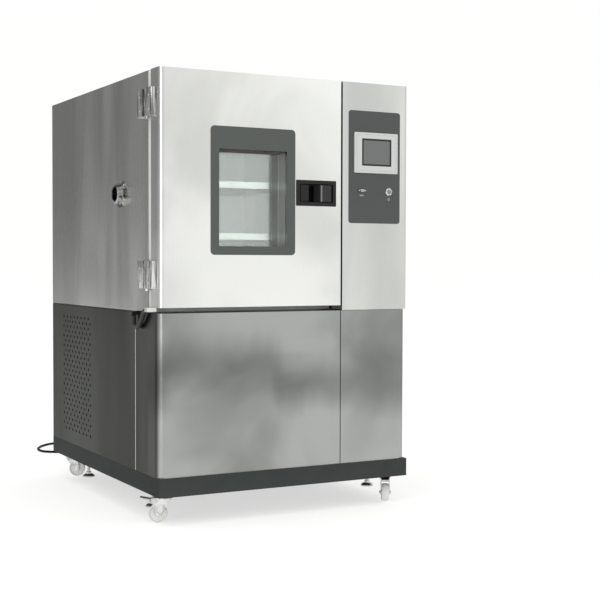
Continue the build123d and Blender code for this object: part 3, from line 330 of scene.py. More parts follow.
# Casters and levelling feet
# Pressed and chromed forks with white nylon wheels, a brake pedal on the front pair, and turned
# levelling feet with chromed discs. Cloud is the soft unevenness of rolled and polished metal.
cloud, entry, leave = effect(
    "cloud",
    [
        ("Stretch", "NodeSocketVector", (1, 1, 0.4)),
        ("Size", "NodeSocketFloat", 2.0),
        ("Low", "NodeSocketFloat", 0.8),
        ("High", "NodeSocketFloat", 1.0),
    ],
    [("Tone", "NodeSocketFloat"), ("Mask", "NodeSocketFloat")],
)
place = node(cloud, "ShaderNodeTexCoord")
spread = node(cloud, "ShaderNodeVectorMath", operation="MULTIPLY")
puffs = node(cloud, "ShaderNodeTexNoise", {"Detail": 3.0, "Roughness": 0.45, "Distortion": 0.6})
contrast = node(
    cloud, "ShaderNodeMapRange", {"From Min": 0.34, "From Max": 0.66}, interpolation_type="SMOOTHSTEP"
)
levels = node(cloud, "ShaderNodeMapRange")
cloud.links.new(place.outputs["Object"], spread.inputs[0])
cloud.links.new(entry.outputs["Stretch"], spread.inputs[1])
cloud.links.new(spread.outputs["Vector"], puffs.inputs["Vector"])
cloud.links.new(entry.outputs["Size"], puffs.inputs["Scale"])
cloud.links.new(puffs.outputs["Fac"], contrast.inputs["Value"])
cloud.links.new(contrast.outputs["Result"], levels.inputs["Value"])
cloud.links.new(entry.outputs["Low"], levels.inputs["To Min"])
cloud.links.new(entry.outputs["High"], levels.inputs["To Max"])
cloud.links.new(levels.outputs["Result"], leave.inputs["Tone"])
cloud.links.new(contrast.outputs["Result"], leave.inputs["Mask"])


def polished(name, dark, light, roughness):
    """Bright plated or turned metal with faint polishing clouds."""
    material, tree, shader = blank_material(name, Metallic=1.0)
    mask = use_effect(tree, cloud, Stretch=(1, 1, 1), Size=38.0).outputs["Mask"]
    dress(tree, shader, blend_colours(tree, mask, dark, light), spread_value(tree, mask, *roughness))
    return material


def moulded(name, dark, light, roughness, size=900.0, relief=0.12, **values):
    """Moulded plastic, rubber or painted metal: faint tone drift and a pebbled skin."""
    material, tree, shader = blank_material(name, **values)
    skin = use_effect(tree, pebble, Size=size)
    mask = skin.outputs["Mask"]
    dress(tree, shader, blend_colours(tree, mask, dark, light), spread_value(tree, mask, *roughness))
    raised(tree, shader, skin.outputs["Height"], relief, 0.0003)
    return material


chrome_plate = polished("caster_chrome", (0.46, 0.46, 0.45), (0.74, 0.74, 0.73), (0.10, 0.20))
white_nylon = moulded(
    "wheel_nylon", (0.62, 0.62, 0.60), (0.72, 0.72, 0.70), (0.32, 0.44), 500.0, 0.06
)
foot_plate = polished("foot_plate", (0.42, 0.42, 0.41), (0.66, 0.66, 0.65), (0.16, 0.28))
for corner in ("front_left", "front_right", "rear_left", "rear_right"):
    coat(chrome_plate, f"caster_fork_{corner}")
    coat(white_nylon, f"caster_wheel_{corner}")
    coat(foot_plate, f"levelling_foot_{corner}")
for corner in ("front_left", "front_right"):
    coat(foot_plate, f"brake_pedal_{corner}")

# Lower cabinet
# Posts, covers and the vented side panel, folded from stainless sheet with a satin mill finish
# that is duller and cloudier than the upper body's. Grain is its fine brushed scratches.
grain, entry, leave = effect(
    "brushed_grain",
    [("Stretch", "NodeSocketVector", (600, 600, 14))],
    [("Height", "NodeSocketFloat"), ("Mask", "NodeSocketFloat")],
)
place = node(grain, "ShaderNodeTexCoord")
spread = node(grain, "ShaderNodeVectorMath", operation="MULTIPLY")
scratches = node(grain, "ShaderNodeTexNoise", {"Scale": 1.0, "Detail": 4.0, "Roughness": 0.7})
grain.links.new(place.outputs["Object"], spread.inputs[0])
grain.links.new(entry.outputs["Stretch"], spread.inputs[1])
grain.links.new(spread.outputs["Vector"], scratches.inputs["Vector"])
grain.links.new(scratches.outputs["Fac"], leave.inputs["Height"])
grain.links.new(scratches.outputs["Fac"], leave.inputs["Mask"])


def steel(
    name, dark, light, roughness,
    stretch=(1, 1, 0.4), size=1.6, lines=(700, 700, 12), relief=0.03, **values,
):
    """Stainless sheet: cloudy tone, brushed scratches in roughness and relief."""
    material, tree, shader = blank_material(name, **{"Metallic": 1.0, **values})
    clouds = use_effect(tree, cloud, Stretch=stretch, Size=size)
    scratches = use_effect(tree, grain, Stretch=lines)
    colour = blend_colours(tree, clouds.outputs["Mask"], dark, light)
    dress(tree, shader, colour, spread_value(tree, scratches.outputs["Mask"], *roughness))
    raised(tree, shader, scratches.outputs["Height"], relief, 0.0002)
    return material


def paint_reflection_band(material, middle, reach, darkest):
    """Paints a dark reflection into a sheet's colour: a soft wavy band at one height, as a dim room
    reflected in it would give.
    """
    tree = material.node_tree
    drift = use_effect(tree, cloud, Stretch=(1.2, 1.2, 0.5), Size=2.3, Low=-0.055, High=0.055)
    height = node(tree, "ShaderNodeMath", operation="ADD")
    away = node(tree, "ShaderNodeMath", {1: middle}, operation="SUBTRACT")
    distance = node(tree, "ShaderNodeMath", operation="ABSOLUTE")
    fade = node(
        tree,
        "ShaderNodeMapRange",
        {"From Max": reach, "To Min": darkest, "To Max": 1.0},
        interpolation_type="SMOOTHSTEP",
    )
    tree.links.new(coordinate(tree, "Z"), height.inputs[0])
    tree.links.new(drift.outputs["Tone"], height.inputs[1])
    tree.links.new(height.outputs["Value"], away.inputs[0])
    tree.links.new(away.outputs["Value"], distance.inputs[0])
    tree.links.new(distance.outputs["Value"], fade.inputs["Value"])
    dim(material, fade.outputs["Result"])


def beyond(tree, axis, comparison, limit):
    """Mask of a piece's points on one side of a plane."""
    mask = node(tree, "ShaderNodeMath", {1: limit}, operation=comparison)
    tree.links.new(coordinate(tree, axis), mask.inputs[0])
    return mask.outputs["Value"]


lower_sheet = steel(
    "lower_cover_sheet", (0.25, 0.26, 0.25), (0.40, 0.41, 0.40), (0.27, 0.34),
    (1.0, 1.0, 1.3), 2.2, (14, 14, 700), 0.02,
)
# Painted reflection: a darker wavy band across the lower covers at 0.475 m.
paint_reflection_band(lower_sheet, 0.475, 0.15, 0.60)
# Painted shade: the covers' left-facing rounded flanks are darkened, and their reflections dimmed.
paint_flank_shade(lower_sheet, 0.16, (0.75, 0.75, 0.74, 1))
coat(lower_sheet, "front_lower_cover", "right_lower_cover")
# Painted shade: the support frame's and the left panel's sheet is a much darker copy of the right
# panel's sheet below, with dimmed reflections, for the dim left side.
shaded_side_sheet = steel(
    "lower_side_painted_shade", (0.060, 0.063, 0.060), (0.090, 0.094, 0.090), (0.28, 0.34),
    (1.4, 1.4, 0.3), 2.4, relief=0.012, Specular_Tint=(0.56, 0.56, 0.55, 1),
)
coat(shaded_side_sheet, "support_frame")
right_sheet = steel(
    "right_panel_sheet", (0.22, 0.23, 0.22), (0.32, 0.33, 0.32), (0.28, 0.34),
    (1.4, 1.4, 0.3), 2.4, relief=0.012,
)
coat(right_sheet, "right_access_panel")
# The vented panel has the painted-shade side sheet, with a painted highlight: a light strip along its
# front edge.
panel_sheet = shaded_side_sheet.copy()
panel_sheet.name = "vented_panel_shade_and_highlight"
tree = panel_sheet.node_tree
colour = tree.nodes["Principled BSDF"].inputs["Base Color"]
highlight_strip_depth = 0.004
highlight_strip_mask = beyond(tree, "Y", "LESS_THAN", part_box("left_access_panel")[0][1] + highlight_strip_depth)
painted_edge_highlight = blend_colours(tree, highlight_strip_mask, colour.links[0].from_socket, (0.80, 0.80, 0.79))
tree.links.new(painted_edge_highlight, colour)
coat(panel_sheet, "left_access_panel")

# Upper casing
# The stainless shell round the chamber: two sides, the roof, and the back panels screwed on with
# zinc plated pan head screws, each with a cross recess.
casing_sheet = steel(
    "casing_sheet", (0.35, 0.36, 0.345), (0.55, 0.56, 0.54), (0.23, 0.30),
    (1.6, 1.6, 0.22), 2.6, relief=0.006,
)
# Painted reflection: a darker wavy band across the casing at 0.70 m.
paint_reflection_band(casing_sheet, 0.70, 0.30, 0.60)
coat(casing_sheet, "outer_casing", "rear_panels")


def geometry_tree(name, inputs):
    """Empty geometry tree with named inputs after its geometry, and its ends."""
    tree = bpy.data.node_groups.new(name, "GeometryNodeTree")
    tree.interface.new_socket("Geometry", in_out="INPUT", socket_type="NodeSocketGeometry")
    for label, kind, value in inputs:
        socket = tree.interface.new_socket(label, in_out="INPUT", socket_type=kind)
        socket.default_value = value
    tree.interface.new_socket("Finish", in_out="INPUT", socket_type="NodeSocketMaterial")
    tree.interface.new_socket("Geometry", in_out="OUTPUT", socket_type="NodeSocketGeometry")
    return tree, node(tree, "NodeGroupInput"), node(tree, "NodeGroupOutput")


def repeat(tree, entry, leave, instance):
    """Ends a geometry tree with an instance on each point, turned to its axis, and its finish."""
    turned = node(tree, "FunctionNodeAlignRotationToVector", axis="Z")
    placed = node(tree, "GeometryNodeInstanceOnPoints")
    joined = node(tree, "GeometryNodeRealizeInstances")
    dressed = node(tree, "GeometryNodeSetMaterial")
    tree.links.new(entry.outputs["Axis"], turned.inputs["Vector"])
    tree.links.new(entry.outputs["Geometry"], placed.inputs["Points"])
    tree.links.new(instance, placed.inputs["Instance"])
    tree.links.new(turned.outputs["Rotation"], placed.inputs["Rotation"])
    tree.links.new(placed.outputs["Instances"], joined.inputs["Geometry"])
    tree.links.new(joined.outputs["Geometry"], dressed.inputs["Geometry"])
    tree.links.new(entry.outputs["Finish"], dressed.inputs["Material"])
    tree.links.new(dressed.outputs["Geometry"], leave.inputs["Geometry"])


def grown(name, tree, points, body, finish, slot, **inputs):
    """Plain mesh that a geometry tree makes on some points, riding a body."""
    seed = mesh_piece(name + "_points", points, [])
    modifier = seed.modifiers.new("pattern", "NODES")
    modifier.node_group = tree
    sockets = [item for item in tree.interface.items_tree if item.in_out == "INPUT"]
    identifiers = {item.name: item.identifier for item in sockets}
    for label, value in inputs.items():
        modifier[identifiers[label]] = value
    modifier[identifiers["Finish"]] = finish
    bpy.context.view_layer.update()
    mesh = bpy.data.meshes.new_from_object(seed.evaluated_get(bpy.context.evaluated_depsgraph_get()))
    bpy.data.objects.remove(seed)
    piece = bpy.data.objects.new(name, mesh)
    bpy.context.scene.collection.objects.link(piece)
    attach(piece, body)


screw_tree, entry, leave = geometry_tree(
    "pan_head_screws",
    [
        ("Radius", "NodeSocketFloat", 0.004),
        ("Height", "NodeSocketFloat", 0.0022),
        ("Axis", "NodeSocketVector", (0, 0, 1)),
    ],
)
head = node(screw_tree, "GeometryNodeMeshCone", {"Vertices": 20})
narrower = node(screw_tree, "ShaderNodeMath", {1: 0.74}, operation="MULTIPLY")
recess = node(screw_tree, "GeometryNodeMeshBoolean", operation="DIFFERENCE")
lifted = node(screw_tree, "ShaderNodeCombineXYZ")
screw_tree.links.new(entry.outputs["Radius"], narrower.inputs[0])
screw_tree.links.new(entry.outputs["Radius"], head.inputs["Radius Bottom"])
screw_tree.links.new(narrower.outputs["Value"], head.inputs["Radius Top"])
screw_tree.links.new(entry.outputs["Height"], head.inputs["Depth"])
screw_tree.links.new(head.outputs["Mesh"], recess.inputs["Mesh 1"])
screw_tree.links.new(entry.outputs["Height"], lifted.inputs["Z"])
bar_length, bar_width = 1.15, 0.26
for long_side, short_side in (("X", "Y"), ("Y", "X")):
    bar = node(screw_tree, "GeometryNodeMeshCube")
    size = node(screw_tree, "ShaderNodeCombineXYZ")
    for axis, share in ((long_side, bar_length), (short_side, bar_width)):
        scaled = node(screw_tree, "ShaderNodeMath", {1: share}, operation="MULTIPLY")
        screw_tree.links.new(entry.outputs["Radius"], scaled.inputs[0])
        screw_tree.links.new(scaled.outputs["Value"], size.inputs[axis])
    screw_tree.links.new(entry.outputs["Height"], size.inputs["Z"])
    moved = node(screw_tree, "GeometryNodeTransform")
    screw_tree.links.new(size.outputs["Vector"], bar.inputs["Size"])
    screw_tree.links.new(bar.outputs["Mesh"], moved.inputs["Geometry"])
    screw_tree.links.new(lifted.outputs["Vector"], moved.inputs["Translation"])
    screw_tree.links.new(moved.outputs["Geometry"], recess.inputs["Mesh 2"])
repeat(screw_tree, entry, leave, recess.outputs["Mesh"])

screw_zinc = polished("screw_zinc", (0.44, 0.44, 0.43), (0.66, 0.66, 0.64), (0.16, 0.28))
low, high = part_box("rear_panels")
edge_inset, middle_inset = 0.012, 0.32
rear_columns = (
    low[0] + edge_inset, low[0] + middle_inset, high[0] - middle_inset, high[0] - edge_inset,
)
rear_rows = (0.170, 0.420, 0.680, 0.706, 1.09, 1.470)
rear_spots = [(x, high[1], z) for z in rear_rows for x in rear_columns]
grown(
    "rear_panel_screws", screw_tree, rear_spots, "cabinet", screw_zinc, "zinc_steel",
    Radius=0.0045, Axis=(0, 1, 0),
)
low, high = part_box("right_access_panel")
corner_inset = 0.02
side_spots = [
    (high[0], y, z)
    for y in (low[1] + corner_inset, high[1] - corner_inset)
    for z in (low[2] + corner_inset, high[2] - corner_inset)
]
grown(
    "side_panel_screws", screw_tree, side_spots, "cabinet", screw_zinc, "zinc_steel",
    Radius=0.0045, Axis=(1, 0, 0),
)

# Chamber
# Bright annealed liner with its punched shelves, the air duct's panel and what works behind it.
# The shelves' holes are dark discs on their upper faces, in two staggered fields each.
liner_sheet = steel(
    "liner_sheet", (0.72, 0.75, 0.72), (0.80, 0.83, 0.80), (0.42, 0.52), (3, 3, 0.2), 3.0,
    (500, 500, 16), 0.02, Metallic=0.55,
)
coat(liner_sheet, "inner_liner", "air_duct_panel")
shelf_sheet = steel(
    "shelf_sheet", (0.17, 0.18, 0.173), (0.21, 0.22, 0.213), (0.32, 0.42), (1, 1, 1), 4.0,
    (16, 600, 600), 0.03,
)
coat(shelf_sheet, "shelves")
hole_tree, entry, leave = geometry_tree(
    "punched_holes",
    [
        ("Width", "NodeSocketFloat", 0.4),
        ("Depth", "NodeSocketFloat", 0.4),
        ("Columns", "NodeSocketInt", 10),
        ("Rows", "NodeSocketInt", 10),
        ("Hole", "NodeSocketFloat", 0.004),
        ("Axis", "NodeSocketVector", (0, 0, 1)),
    ],
)
field = node(hole_tree, "GeometryNodeMeshGrid")
disc = node(hole_tree, "GeometryNodeMeshCircle", {"Vertices": 12}, fill_type="NGON")
scattered = node(hole_tree, "GeometryNodeInstanceOnPoints")
grid_sockets = {"Width": "Size X", "Depth": "Size Y", "Columns": "Vertices X", "Rows": "Vertices Y"}
for label, socket in grid_sockets.items():
    hole_tree.links.new(entry.outputs[label], field.inputs[socket])
hole_tree.links.new(entry.outputs["Hole"], disc.inputs["Radius"])
hole_tree.links.new(field.outputs["Mesh"], scattered.inputs["Points"])
hole_tree.links.new(disc.outputs["Mesh"], scattered.inputs["Instance"])
repeat(hole_tree, entry, leave, scattered.outputs["Instances"])

hole_shade = moulded("shelf_hole_shade", (0.05, 0.055, 0.05), (0.09, 0.095, 0.09), (0.7, 0.8))
low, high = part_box("shelves")
half_pitch = 0.0115
lift = 0.0002
for name, shelf_top in (("lower", 0.957), ("upper", 1.133)):
    for stagger in (0, 1):
        field_middle = (
            (low[0] + high[0]) / 2 + half_pitch * stagger,
            (low[1] + high[1]) / 2 + half_pitch * stagger,
            shelf_top + lift,
        )
        grown(
            f"{name}_shelf_holes_{stagger}", hole_tree, [field_middle], "cabinet",
            hole_shade, "inner_stainless",
            Width=0.414, Depth=0.368, Columns=19, Rows=17, Hole=0.004, Axis=(0, 0, 1),
        )
bare_aluminium = steel(
    "fin_aluminium", (0.62, 0.63, 0.64), (0.76, 0.77, 0.78), (0.3, 0.42), (1, 1, 1), 14.0
)
black_enamel = moulded("black_enamel", (0.018, 0.018, 0.019), (0.034, 0.034, 0.035), (0.34, 0.48))
zinc_plate = polished("zinc_plate", (0.50, 0.51, 0.52), (0.66, 0.66, 0.65), (0.28, 0.40))
foam_core = moulded("foam_core", (0.62, 0.53, 0.32), (0.74, 0.65, 0.43), (0.8, 0.95), 260.0, 0.5)
jamb_moulding = moulded("jamb_moulding", (0.52, 0.53, 0.52), (0.60, 0.61, 0.60), (0.42, 0.55))
coat(bare_aluminium, "circulation_fan", "condenser_fan", "evaporator", "condenser")
coat(black_enamel, "circulation_fan_motor", "compressor", "condenser_fan_shroud")
coat(zinc_plate, "air_heater", "latch_lever")
coat(foam_core, "insulation", "door_insulation")
coat(jamb_moulding, "door_jamb")

# A lamp in the chamber's mouth lights its back wall, as it shows through the window.
chamber_mouth = (-0.1245, -0.468, 1.090)
chamber_depth = (-0.1245, 0.0, 1.090)
softbox("chamber_lamp", chamber_mouth, chamber_depth, 0.46, 0.56, 3.0, (0.965, 1.0, 0.97))

# Cable port
# A turned and polished tube through the side wall, for the cables of what is tested inside. Four
# screws hold its flange.
# Painted reflection and painted shade: the port's colour swings from near-black to bright in small
# clouds, for the dark reflections and shade on the polished tube.
port_steel = steel(
    "port_steel", (0.10, 0.10, 0.098), (0.62, 0.62, 0.60), (0.12, 0.22), (1, 1, 1), 46.0
)
coat(port_steel, "cable_port")
flange_middle = Vector((-0.4665, -0.2245, 1.091))
screw_circle = 0.0422
flange_spots = [
    flange_middle + screw_circle * Vector((0, math.cos(angle), math.sin(angle)))
    for angle in (math.radians(turn) for turn in (45, 135, 225, 315))
]
grown(
    "port_screws", screw_tree, flange_spots, "cabinet", screw_zinc, "zinc_steel",
    Radius=0.0033, Height=0.0018, Axis=(-1, 0, 0),
)

# Door
# A folded stainless shell, finely brushed, with a plug of liner sheet on its back and a white
# silicone seal all round.
door_sheet = steel(
    "door_sheet", (0.70, 0.71, 0.685), (0.88, 0.89, 0.86), (0.25, 0.32),
    (0.8, 0.8, 0.9), 2.6, relief=0.014,
)
# Painted shade: the door's left-facing rounded edge and flank are darkened.
paint_flank_shade(door_sheet, 0.66, (1, 1, 1, 1))
coat(door_sheet, "door_shell")
coat(liner_sheet, "door_inner_panel")
silicone = moulded(
    "white_silicone", (0.70, 0.70, 0.67), (0.78, 0.78, 0.75), (0.5, 0.62), 300.0, 0.05
)
coat(silicone, "door_gasket")


# Window
# Three panes in a slate grey pressed frame. The lining between them is dull sheet, darker and
# lighter from pane to pane in painted shade and painted highlights, with painted shadow along its
# top.
def stepped_tones(tree, axis, low, high, stops, tint=(1, 1, 1)):
    """Tones at shares of the way across a piece, from its low to its high end on one axis."""
    across = node(tree, "ShaderNodeMapRange", {"From Min": low, "From Max": high})
    ramp = node(tree, "ShaderNodeValToRGB")
    for number, (share, tone) in enumerate(stops):
        elements = ramp.color_ramp.elements
        stop = elements[number] if number < 2 else elements.new(share)
        stop.position = share
        stop.color = (tone * tint[0], tone * tint[1], tone * tint[2], 1)
    tree.links.new(coordinate(tree, axis), across.inputs["Value"])
    tree.links.new(across.outputs["Result"], ramp.inputs["Fac"])
    return ramp.outputs["Color"]


tunnel_sheet, tree, shader = blank_material("tunnel_sheet", Specular_IOR_Level=0.05)
# Painted shadow: a near-black, dull strip along the top of the lining. Painted shade and painted
# highlights: the lining's tones step from dark to bright along its depth.
top_shadow_height = 0.004
painted_top_shadow = beyond(tree, "Z", "GREATER_THAN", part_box("window_panes")[1][2] - top_shadow_height)
low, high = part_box("window_tunnel")
outer_half_painted_tones = ((0.0, 0.30), (0.49, 0.24), (0.51, 0.95), (0.55, 0.95))
inner_half_painted_tones = ((0.57, 0.12), (0.92, 0.15), (0.95, 0.75), (1.0, 0.75))
lining_light_and_shade = stepped_tones(tree, "Y", low[1], high[1], outer_half_painted_tones + inner_half_painted_tones, (0.97, 1, 0.975))
film = use_effect(tree, cloud, Stretch=(1.5, 1.5, 0.15), Size=3.0)
clouds = blend_colours(tree, film.outputs["Mask"], (0.85, 0.86, 0.85), (1.1, 1.1, 1.1))
lining_light_and_shade = blend_colours(tree, 1.0, lining_light_and_shade, clouds, "MULTIPLY")
metal = node(tree, "ShaderNodeMath", {0: 1.0}, operation="SUBTRACT")
dull = node(tree, "ShaderNodeMix", {3: 0.95})
tree.links.new(painted_top_shadow, metal.inputs[1])
tree.links.new(metal.outputs["Value"], shader.inputs["Metallic"])
tree.links.new(painted_top_shadow, dull.inputs[0])
tree.links.new(spread_value(tree, film.outputs["Mask"], 0.22, 0.34), dull.inputs[2])
dress(tree, shader, blend_colours(tree, painted_top_shadow, lining_light_and_shade, (0.012, 0.013, 0.013)), dull.outputs[0])
coat(tunnel_sheet, "window_tunnel")
frame_paint = moulded(
    "frame_paint", (0.057, 0.066, 0.061), (0.068, 0.077, 0.072), (0.40, 0.5), 1600.0, 0.10
)
coat(frame_paint, "window_frame")
pane_glass, tree, shader = blank_material("pane_glass", Transmission_Weight=1.0, IOR=1.46)
film = use_effect(tree, cloud, Stretch=(1, 1, 1), Size=9.0)
tint = blend_colours(tree, film.outputs["Mask"], (0.980, 0.997, 0.986), (0.992, 1.0, 0.995))
dress(tree, shader, tint, spread_value(tree, film.outputs["Mask"], 0.0, 0.012))
coat(pane_glass, "window_panes")

# Handle
# A flush black moulding with a finger slot and a paddle that turns on a pin. The paddle has
# near-black painted shade beside the slot, and a painted highlight line where its grip begins.
handle_plastic = moulded(
    "handle_plastic", (0.008, 0.008, 0.008), (0.015, 0.015, 0.015), (0.30, 0.40), 1300.0, 0.12,
    Specular_IOR_Level=0.25,
)
coat(handle_plastic, "handle_housing")
paddle_plastic, tree, shader = blank_material("paddle_plastic", Specular_IOR_Level=0.12)
low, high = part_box("handle_paddle")
# Painted shade: near-black at the slot end. Painted highlight: a bright line where the grip begins,
# then the paddle's own dark tone.
shaded_end = ((0.0, 0.003), (0.22, 0.003), (0.26, 0.008), (0.36, 0.008))
highlight_and_grip = ((0.385, 0.20), (0.43, 0.20), (0.47, 0.040), (1.0, 0.036))
shade_and_highlight_tones = stepped_tones(tree, "X", low[0], high[0], shaded_end + highlight_and_grip)
skin = use_effect(tree, pebble, Size=1300.0)
drift = blend_colours(tree, skin.outputs["Mask"], (0.85, 0.85, 0.85), (1.1, 1.1, 1.1))
shade_and_highlight_tones = blend_colours(tree, 1.0, shade_and_highlight_tones, drift, "MULTIPLY")
dress(tree, shader, shade_and_highlight_tones, spread_value(tree, skin.outputs["Mask"], 0.32, 0.42))
raised(tree, shader, skin.outputs["Height"], 0.12, 0.0003)
coat(paddle_plastic, "handle_paddle")

# Hinges
# Two chromed block hinges on the left edge. Each has one leaf on the casing and one on the door,
# held by two screws each, and turns on a pin.
# Painted reflection: the chrome's colour runs in strong dark and bright upright streaks that stand
# for what it reflects.
hinge_chrome = steel(
    "hinge_chrome", (0.20, 0.20, 0.20), (0.86, 0.86, 0.85), (0.10, 0.18), (1, 1, 0.12), 95.0
)
coat(hinge_chrome, "hinge_body_leaves", "hinge_door_leaves")
leaf_face = -0.4805
leaf_feet = (1.331, 0.772)
screw_rises = (0.022, 0.068)
for leaf, body, leaf_middle in (("body", "cabinet", -0.4435), ("door", "door", -0.5215)):
    spots = [(leaf_face, leaf_middle, foot + rise) for foot in leaf_feet for rise in screw_rises]
    grown(
        f"hinge_{leaf}_screws", screw_tree, spots, body, screw_zinc, "zinc_steel",
        Radius=0.005, Height=0.001, Axis=(-1, 0, 0),
    )

# Control column
# A folded cover with the slate fascia let into it: touch screen in a light moulding, a push button
# in a chromed ring and a nine-way connector.
column_sheet = steel(
    "column_sheet", (0.55, 0.56, 0.54), (0.70, 0.71, 0.685), (0.25, 0.32),
    (1.2, 1.2, 0.6), 2.2, relief=0.014,
)
coat(column_sheet, "control_column_cover")
slate = moulded(
    "slate_paint", (0.045, 0.053, 0.049), (0.056, 0.064, 0.060), (0.40, 0.5), 1600.0, 0.10
)
coat(slate, "control_fascia")
bezel_plastic = moulded(
    "bezel_plastic", (0.50, 0.515, 0.505), (0.56, 0.575, 0.565), (0.36, 0.46), 1500.0, 0.06
)
coat(bezel_plastic, "touch_screen_bezel")
display, tree, shader = blank_material("display_film", Coat_Weight=0.25, Specular_IOR_Level=0.25)
low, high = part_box("touch_screen")
place = node(tree, "ShaderNodeTexCoord")
centred = node(
    tree,
    "ShaderNodeMapping",
    {
        "Location": ((low[0] + high[0]) / 2, 0, (low[2] + high[2]) / 2),
        "Scale": ((high[0] - low[0]) / 2, 1, (high[2] - low[2]) / 2),
    },
    vector_type="TEXTURE",
)
parts = node(tree, "ShaderNodeSeparateXYZ")
tree.links.new(place.outputs["Object"], centred.inputs["Vector"])
tree.links.new(centred.outputs["Vector"], parts.inputs["Vector"])
lit = node(tree, "ShaderNodeMath", operation="MULTIPLY")
for number, (axis, border) in enumerate((("X", 0.885), ("Z", 0.86))):
    away = node(tree, "ShaderNodeMath", operation="ABSOLUTE")
    inside = node(tree, "ShaderNodeMath", {1: border}, operation="LESS_THAN")
    tree.links.new(parts.outputs[axis], away.inputs[0])
    tree.links.new(away.outputs["Value"], inside.inputs[0])
    tree.links.new(inside.outputs["Value"], lit.inputs[number])
picture = blend_colours(tree, lit.outputs["Value"], (0.012, 0.013, 0.013), (0.135, 0.14, 0.138))
dress(tree, shader, picture, spread_value(tree, lit.outputs["Value"], 0.35, 0.22))
coat(display, "touch_screen")
ring_chrome = polished("ring_chrome", (0.62, 0.62, 0.61), (0.80, 0.80, 0.79), (0.08, 0.16))
button_steel = steel(
    "button_steel", (0.20, 0.20, 0.20), (0.30, 0.30, 0.295), (0.22, 0.32), (1, 1, 1), 60.0
)
coat(ring_chrome, "power_button_ring")
coat(button_steel, "power_button")
port_shell, tree, shader = blank_material("connector_shell", Metallic=1.0)
bare_from = 0.0022
proud = beyond(tree, "Y", "LESS_THAN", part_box("control_fascia")[0][1] - bare_from)
wear = use_effect(tree, cloud, Stretch=(1, 1, 1), Size=120.0)
tinned = blend_colours(tree, wear.outputs["Mask"], (0.44, 0.45, 0.45), (0.58, 0.59, 0.58))
tones = blend_colours(tree, proud, (0.10, 0.105, 0.105), tinned)
dress(tree, shader, tones, spread_value(tree, wear.outputs["Mask"], 0.25, 0.38))
coat(port_shell, "serial_port")
socket_black = moulded("socket_black", (0.004, 0.004, 0.004), (0.010, 0.010, 0.010), (0.5, 0.6))
low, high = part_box("serial_port")
contact_pitch = 0.00277
contact_x, contact_y, contact_z = (low[0] + high[0]) / 2, low[1] - 0.0001, (low[2] + high[2]) / 2
for row, count, rise in (("upper", 5, 0.0014), ("lower", 4, -0.0014)):
    grown(
        f"connector_{row}_contacts", hole_tree, [(contact_x, contact_y, contact_z + rise)], "cabinet",
        socket_black, "black_plastic",
        Width=contact_pitch * (count - 1), Depth=0.0, Columns=count, Rows=1, Hole=0.0006,
        Axis=(0, -1, 0),
    )

# Fascia marks
# Printed signs on the fascia: the usual power sign under the button, and the usual sign of a
# serial line under the connector. The print is a thin film of pale ink.
ink = moulded("pale_ink", (0.60, 0.61, 0.60), (0.68, 0.69, 0.68), (0.4, 0.5))


def printed_band(centre, outer, start, stop, width, stretch=1.0):
    """Points and faces of a printed arc on the fascia, seen from the front."""
    steps = 36
    points = []
    for step in range(steps + 1):
        angle = math.radians(start + (stop - start) * step / steps)
        for radius in (outer, outer - width):
            across, up = radius * math.cos(angle), stretch * radius * math.sin(angle)
            points.append((centre[0] + across, centre[1], centre[2] + up))
    faces = [(2 * step, 2 * step + 1, 2 * step + 3, 2 * step + 2) for step in range(steps)]
    return points, faces


def printed_bar(centre, width, height):
    """Points and face of a printed upright bar on the fascia."""
    x, y, z = centre
    corners = [(x - width / 2, y, z - height / 2), (x + width / 2, y, z - height / 2)]
    corners += [(x + width / 2, y, z + height / 2), (x - width / 2, y, z + height / 2)]
    return corners, [(0, 1, 2, 3)]


def printed_sign(name, shapes):
    """One piece from several printed shapes, facing the front."""
    points, faces = [], []
    for shape_points, shape_faces in shapes:
        faces += [tuple(len(points) + corner for corner in face) for face in shape_faces]
        points += shape_points
    sign = mesh_piece(name, points, faces, ink)
    build = bmesh.new()
    build.from_mesh(sign.data)
    for face in build.faces:
        face.normal_update()
        if face.normal.y > 0:
            face.normal_flip()
    build.to_mesh(sign.data)
    build.free()
    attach(sign, "cabinet")


print_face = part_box("control_fascia")[0][1] - 0.0001
sign_x, sign_z = 0.4035, 1.081
printed_sign(
    "power_sign",
    [
        printed_band((sign_x, print_face, sign_z), 0.0042, -240, 60, 0.0009),
        printed_bar((sign_x, print_face, sign_z + 0.0028), 0.0009, 0.0046),
    ],
)
sign_x, sign_z = 0.2925, 1.092
bars = [
    printed_bar((sign_x + away, print_face, sign_z), 0.0008, 0.0052)
    for away in (-0.0075, 0, 0.0075)
]
rings = [
    printed_band((sign_x + away, print_face, sign_z), 0.0019, 0, 360, 0.0007, 1.35)
    for away in (-0.00375, 0.00375)
]
printed_sign("serial_sign", bars + rings)

